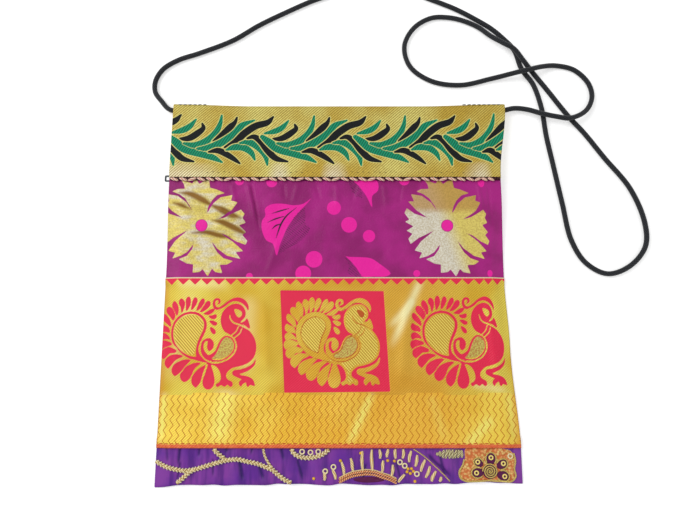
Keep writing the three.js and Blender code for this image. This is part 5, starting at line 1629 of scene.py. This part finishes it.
class POUCH_OT_embroidery(bpy.types.Operator):
    """Gold cords, medallion edge, fan, sequins and flower patch on the purple silk"""

    bl_idname = "pouch.embroidery"
    bl_label = "Embroidery"

    def execute(self, context):
        thick = sizes().couching / MM
        # Zari gimp: gold foil threads plaited into a soft flat cord
        gold = plied("gold foil cord", "#8A6026", "#F4DA98", 0.0, 0.45)
        cords = [sewn(rows, 0.22, thick * 0.4, thick * 0.7, "stem") for rows in EMBROIDERY_CORDS]
        cords.append(sewn(SPUR, 0.22, 0.4, 0.85, "spur"))
        # Pale gold loops lie across the cord, slanting along it like a herringbone
        loops = []
        for rows, reach in [*((rows, 1.25) for rows in (*EMBROIDERY_CORDS, MEDALLION)), (SPUR, 0.6)]:
            line = on_silk(rows, 0.95, 0.0)
            ahead = unit(np.gradient(line, axis=0))
            across = np.stack([-ahead[:, 1], ahead[:, 0], 0 * ahead[:, 0]], 1)
            for i in range(1, len(line) - 1):
                side = reach if i % 2 else -reach
                near = line[i] - 0.55 * ahead[i] + [0, 0, 0.6 + 0.45 * reach]
                far = near + 0.9 * ahead[i] + side * across[i] - [0, 0, 0.5]
                loops.append(stitch(near, far, 0.22, 0.36 + 0.22 * reach))
        pale = plied("pale foil thread", "#FFE6A0", "#FFF4C8", 0.0, 0.4)
        thread_piece("couching_loops", join(loops), pale)
        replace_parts(thread_piece("gimp_stem", join(cords), gold), "couched_stem")
        rim = sewn(MEDALLION, 0.22, 0.55, 1.2, "medallion")
        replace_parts(thread_piece("medallion_cord", rim, gold), "medallion_edge")
        line = sewn(GOLD_LINE, 0.25, 0.25, 0.42, "line")
        thread_piece("gold_line", line, gold)

        # Rayon floss in satin stitch: pale gold, silky along each bar
        floss = plied("pale gold floss", "#D2A85C", "#FFF0BC", 0.0, 0.45)
        bars = [bar(row, 0.25) for row in FAN_BARS]
        thread_piece("fan_rays", join(bars), floss)
        # Silver gold purl: stiff coiled wire, duller than the floss
        purl = plied("silver gold purl", "#6E5E34", "#F0E6B4", 0.1, 0.42)
        rows = []
        for x, tall in PURL_ROWS:
            low = PURL_Y - tall / 2
            rows.append(bar((PURL_FOOT + x, low, PURL_HEAD + x, low + tall), 0.22))
        thread_piece("purl_rows", join(rows), purl)

        # Orange and gold gimp of the fan's lower arc: the gold is painted as highlight on the crowns of
        # the plies, the orange as shade between them
        peach = plied("orange gold gimp", "#B8552A", "#FFC68C", 0.1, 0.5)
        line = [sewn(moved(FAN_ARC, (0, side)), 0.2, 0.5, 0.75, "fan") for side in (-0.75, 0.75)]
        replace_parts(thread_piece("fan_gimp", join(line), peach), "rayed_fan")
        trim = [sewn(moved(FAN_ARC, (0, side)), 0.2, 0.35, 0.36, "trim") for side in (-0.6, 1.75)]
        thread_piece("fan_trim", join(trim), floss)
        lens = dome(*FAN_LENS, 0, 0.1, 0.12)
        # Maroon silk, flat and soft
        silk, tree = new_material("maroon silk")
        surface(tree, {"Base Color": paint("maroon"), "Roughness": 0.5})
        thread_piece("fan_lens", lens, silk)

        # Plastic sequins: thin glossy rings, pearly cream
        pearl, tree = new_material("pearly plastic")
        surface(tree, {"Base Color": linear("#F3E2B2"), "Roughness": 0.25, "Coat Weight": 0.4})
        radius = sizes().sequin / MM / 2 - 0.5
        rings = [ring(cx, cy, radius, 0.5) for cx, cy in RINGS]
        sequins = thread_piece("sequin_rings", join(rings), pearl)
        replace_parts(sequins, "sequin_left", "sequin_middle", "sequin_right")
        knots = [dome(cx, cy, 0.85, 0.85, 0, 0.15, 0.6) for cx, cy in GOLD_KNOTS]
        # French knots in bright yellow gold thread
        bead = plied("yellow gold thread", "#A86A14", "#F0BC3C", 0.2, 0.4)
        thread_piece("gold_knots", join(knots), bead)
        self.patch(silk)
        return {"FINISHED"}

    def patch(self, silk):
        """The orange flower patch with its maroon petals and gold disc."""
        step = 0.4
        x, y = np.meshgrid(grid(66.5, 100.6, step), grid(-109.2, -90.0, step))
        inside = patch(x, y, PATCH_OUTLINE, 5)
        height = silk_height(x, y) + 0.22 * ease(inside / 0.8) - 0.05
        keep = inside[:-1, :-1] > -0.1
        middle = np.stack([x, y, height], axis=-1)
        rows, columns = x.shape
        index = np.arange(rows * columns).reshape(rows, columns)
        a, b = index[:-1, :-1][keep], index[:-1, 1:][keep]
        c, d = index[1:, 1:][keep], index[1:, :-1][keep]
        top = np.stack([a, b, c, d], 1)
        used = np.unique(top)
        remap = np.full(rows * columns, -1)
        remap[used] = np.arange(len(used))
        top = remap[top]
        count = len(used)
        flat = middle.reshape(-1, 3)[used]
        edges = np.concatenate([top[:, [0, 1]], top[:, [1, 2]], top[:, [2, 3]], top[:, [3, 0]]])
        key = np.sort(edges, 1)
        _, first, repeats = np.unique(key, axis=0, return_index=True, return_counts=True)
        rim = edges[first[repeats == 1]]
        faces = [top, top[:, ::-1] + count]
        faces.append(np.stack([rim[:, 1], rim[:, 0], rim[:, 0] + count, rim[:, 1] + count], 1))
        points = np.concatenate([flat, flat - [0, 0, 0.3]])
        ground = make_mesh("orange_patch", points, faces)
        # Knotted rayon stitches: a bead-like orange and gold field
        material, tree = new_material("orange knotted stitches")
        grains = put(
            tree, "TexVoronoi", {"Vector": (put(tree, "TexCoord"), "Object"), "Scale": 1 / 0.0015}
        )
        knot_gaps = put(
            tree,
            "MapRange",
            {"Value": (grains, "Distance"), "From Min": 0.25, "From Max": 0.75},
            **SMOOTH,
        )
        cells = clouds(tree, 0.0035, 2.0, 0.42, 0.58)
        tone = put(tree, "Mix", {0: cells, 6: linear("#F0A264"), 7: linear("#F2D080")}, **RGBA)
        # Painted shade in the gaps between the knots: darker orange where they sink
        tone = put(tree, "Mix", {0: knot_gaps, 6: tone, 7: linear("#D4713A")}, **RGBA)
        surface(tree, {"Base Color": tone, "Roughness": 0.55}, [(knot_gaps, -0.0003)])
        finish_piece(ground, material)
        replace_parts(ground, "flower_patch")

        # Maroon silk petals
        cx, cy, radius = DISC
        petals, edges = [], []
        for px, py, r in PETALS:
            turn = math.atan2(py - cy, px - cx)
            petals.append(dome(px, py, r * 1.1, r * 0.85, turn, 0.2, 0.25))
            angle = np.linspace(-2.3, 2.3, 30)
            u, v = r * 1.1 * np.cos(angle), r * 0.9 * np.sin(angle)
            line = np.stack(
                [px + u * np.cos(turn) - v * np.sin(turn), py + u * np.sin(turn) + v * np.cos(turn)], 1
            )
            edges.append(sewn(line, 0.25, 0.5, 0.48, "petal"))
            curl = ring(px + 0.25 * (px - cx) * r / 8, py + 0.25 * (py - cy) * r / 8, 1.0, 0.75, 0.4)
            edges.append(curl)
        thread_piece("maroon_petals", join(petals), silk)
        edges.append(sewn(PATCH_OUTLINE[1:14], 0.25, 0.4, 0.6, "border"))
        spiral = np.linspace(0, 7 * np.pi, 260)
        size = radius * spiral / spiral[-1]
        x, y = cx + size * np.cos(spiral), cy + size * np.sin(spiral)
        z = silk_height(x, y) + 1.05 - 0.4 * (size / radius) ** 2
        edges.append(tube_points(np.stack([x, y, z], 1), 0.46, *TWISTS["spiral"]))
        bright = plied("bright gold cord", "#8A6218", "#FFE888", 0.1, 0.42)
        thread_piece("patch_cords", join(edges), bright)
        core = dome(cx, cy, radius, radius, 0, 0.2, 0.5)
        thread_piece("patch_core", core, silk)


class POUCH_PT_panel(bpy.types.Panel):
    """The pouch's sizes, colours and pieces"""

    bl_idname = "POUCH_PT_panel"
    bl_label = "Pouch"
    bl_space_type = "VIEW_3D"
    bl_region_type = "UI"
    bl_category = "Pouch"

    def draw(self, context):
        for group in (context.scene.pouch_sizes, context.scene.pouch_colours):
            column = self.layout.column(align=True)
            for name in group.__annotations__:
                column.prop(group, name)
        column = self.layout.column(align=True)
        for operator in OPERATORS:
            column.operator(operator.bl_idname)


OPERATORS = (
    POUCH_OT_stage,
    POUCH_OT_cord,
    POUCH_OT_purple_panel,
    POUCH_OT_peacock_band,
    POUCH_OT_magenta_band,
    POUCH_OT_gold_band,
    POUCH_OT_picot,
    POUCH_OT_zip,
    POUCH_OT_stitches,
    POUCH_OT_embroidery,
)
CLASSES = (PouchSizes, PouchColours, *OPERATORS, POUCH_PT_panel)


def register():
    for one in CLASSES:
        bpy.utils.register_class(one)
    bpy.types.Scene.pouch_sizes = PointerProperty(type=PouchSizes)
    bpy.types.Scene.pouch_colours = PointerProperty(type=PouchColours)


def unregister():
    del bpy.types.Scene.pouch_colours
    del bpy.types.Scene.pouch_sizes
    for one in reversed(CLASSES):
        bpy.utils.unregister_class(one)


def main():
    register()
    for operator in OPERATORS:
        group, name = operator.bl_idname.split(".")
        getattr(getattr(bpy.ops, group), name)()


if __name__ == "__main__":
    main()
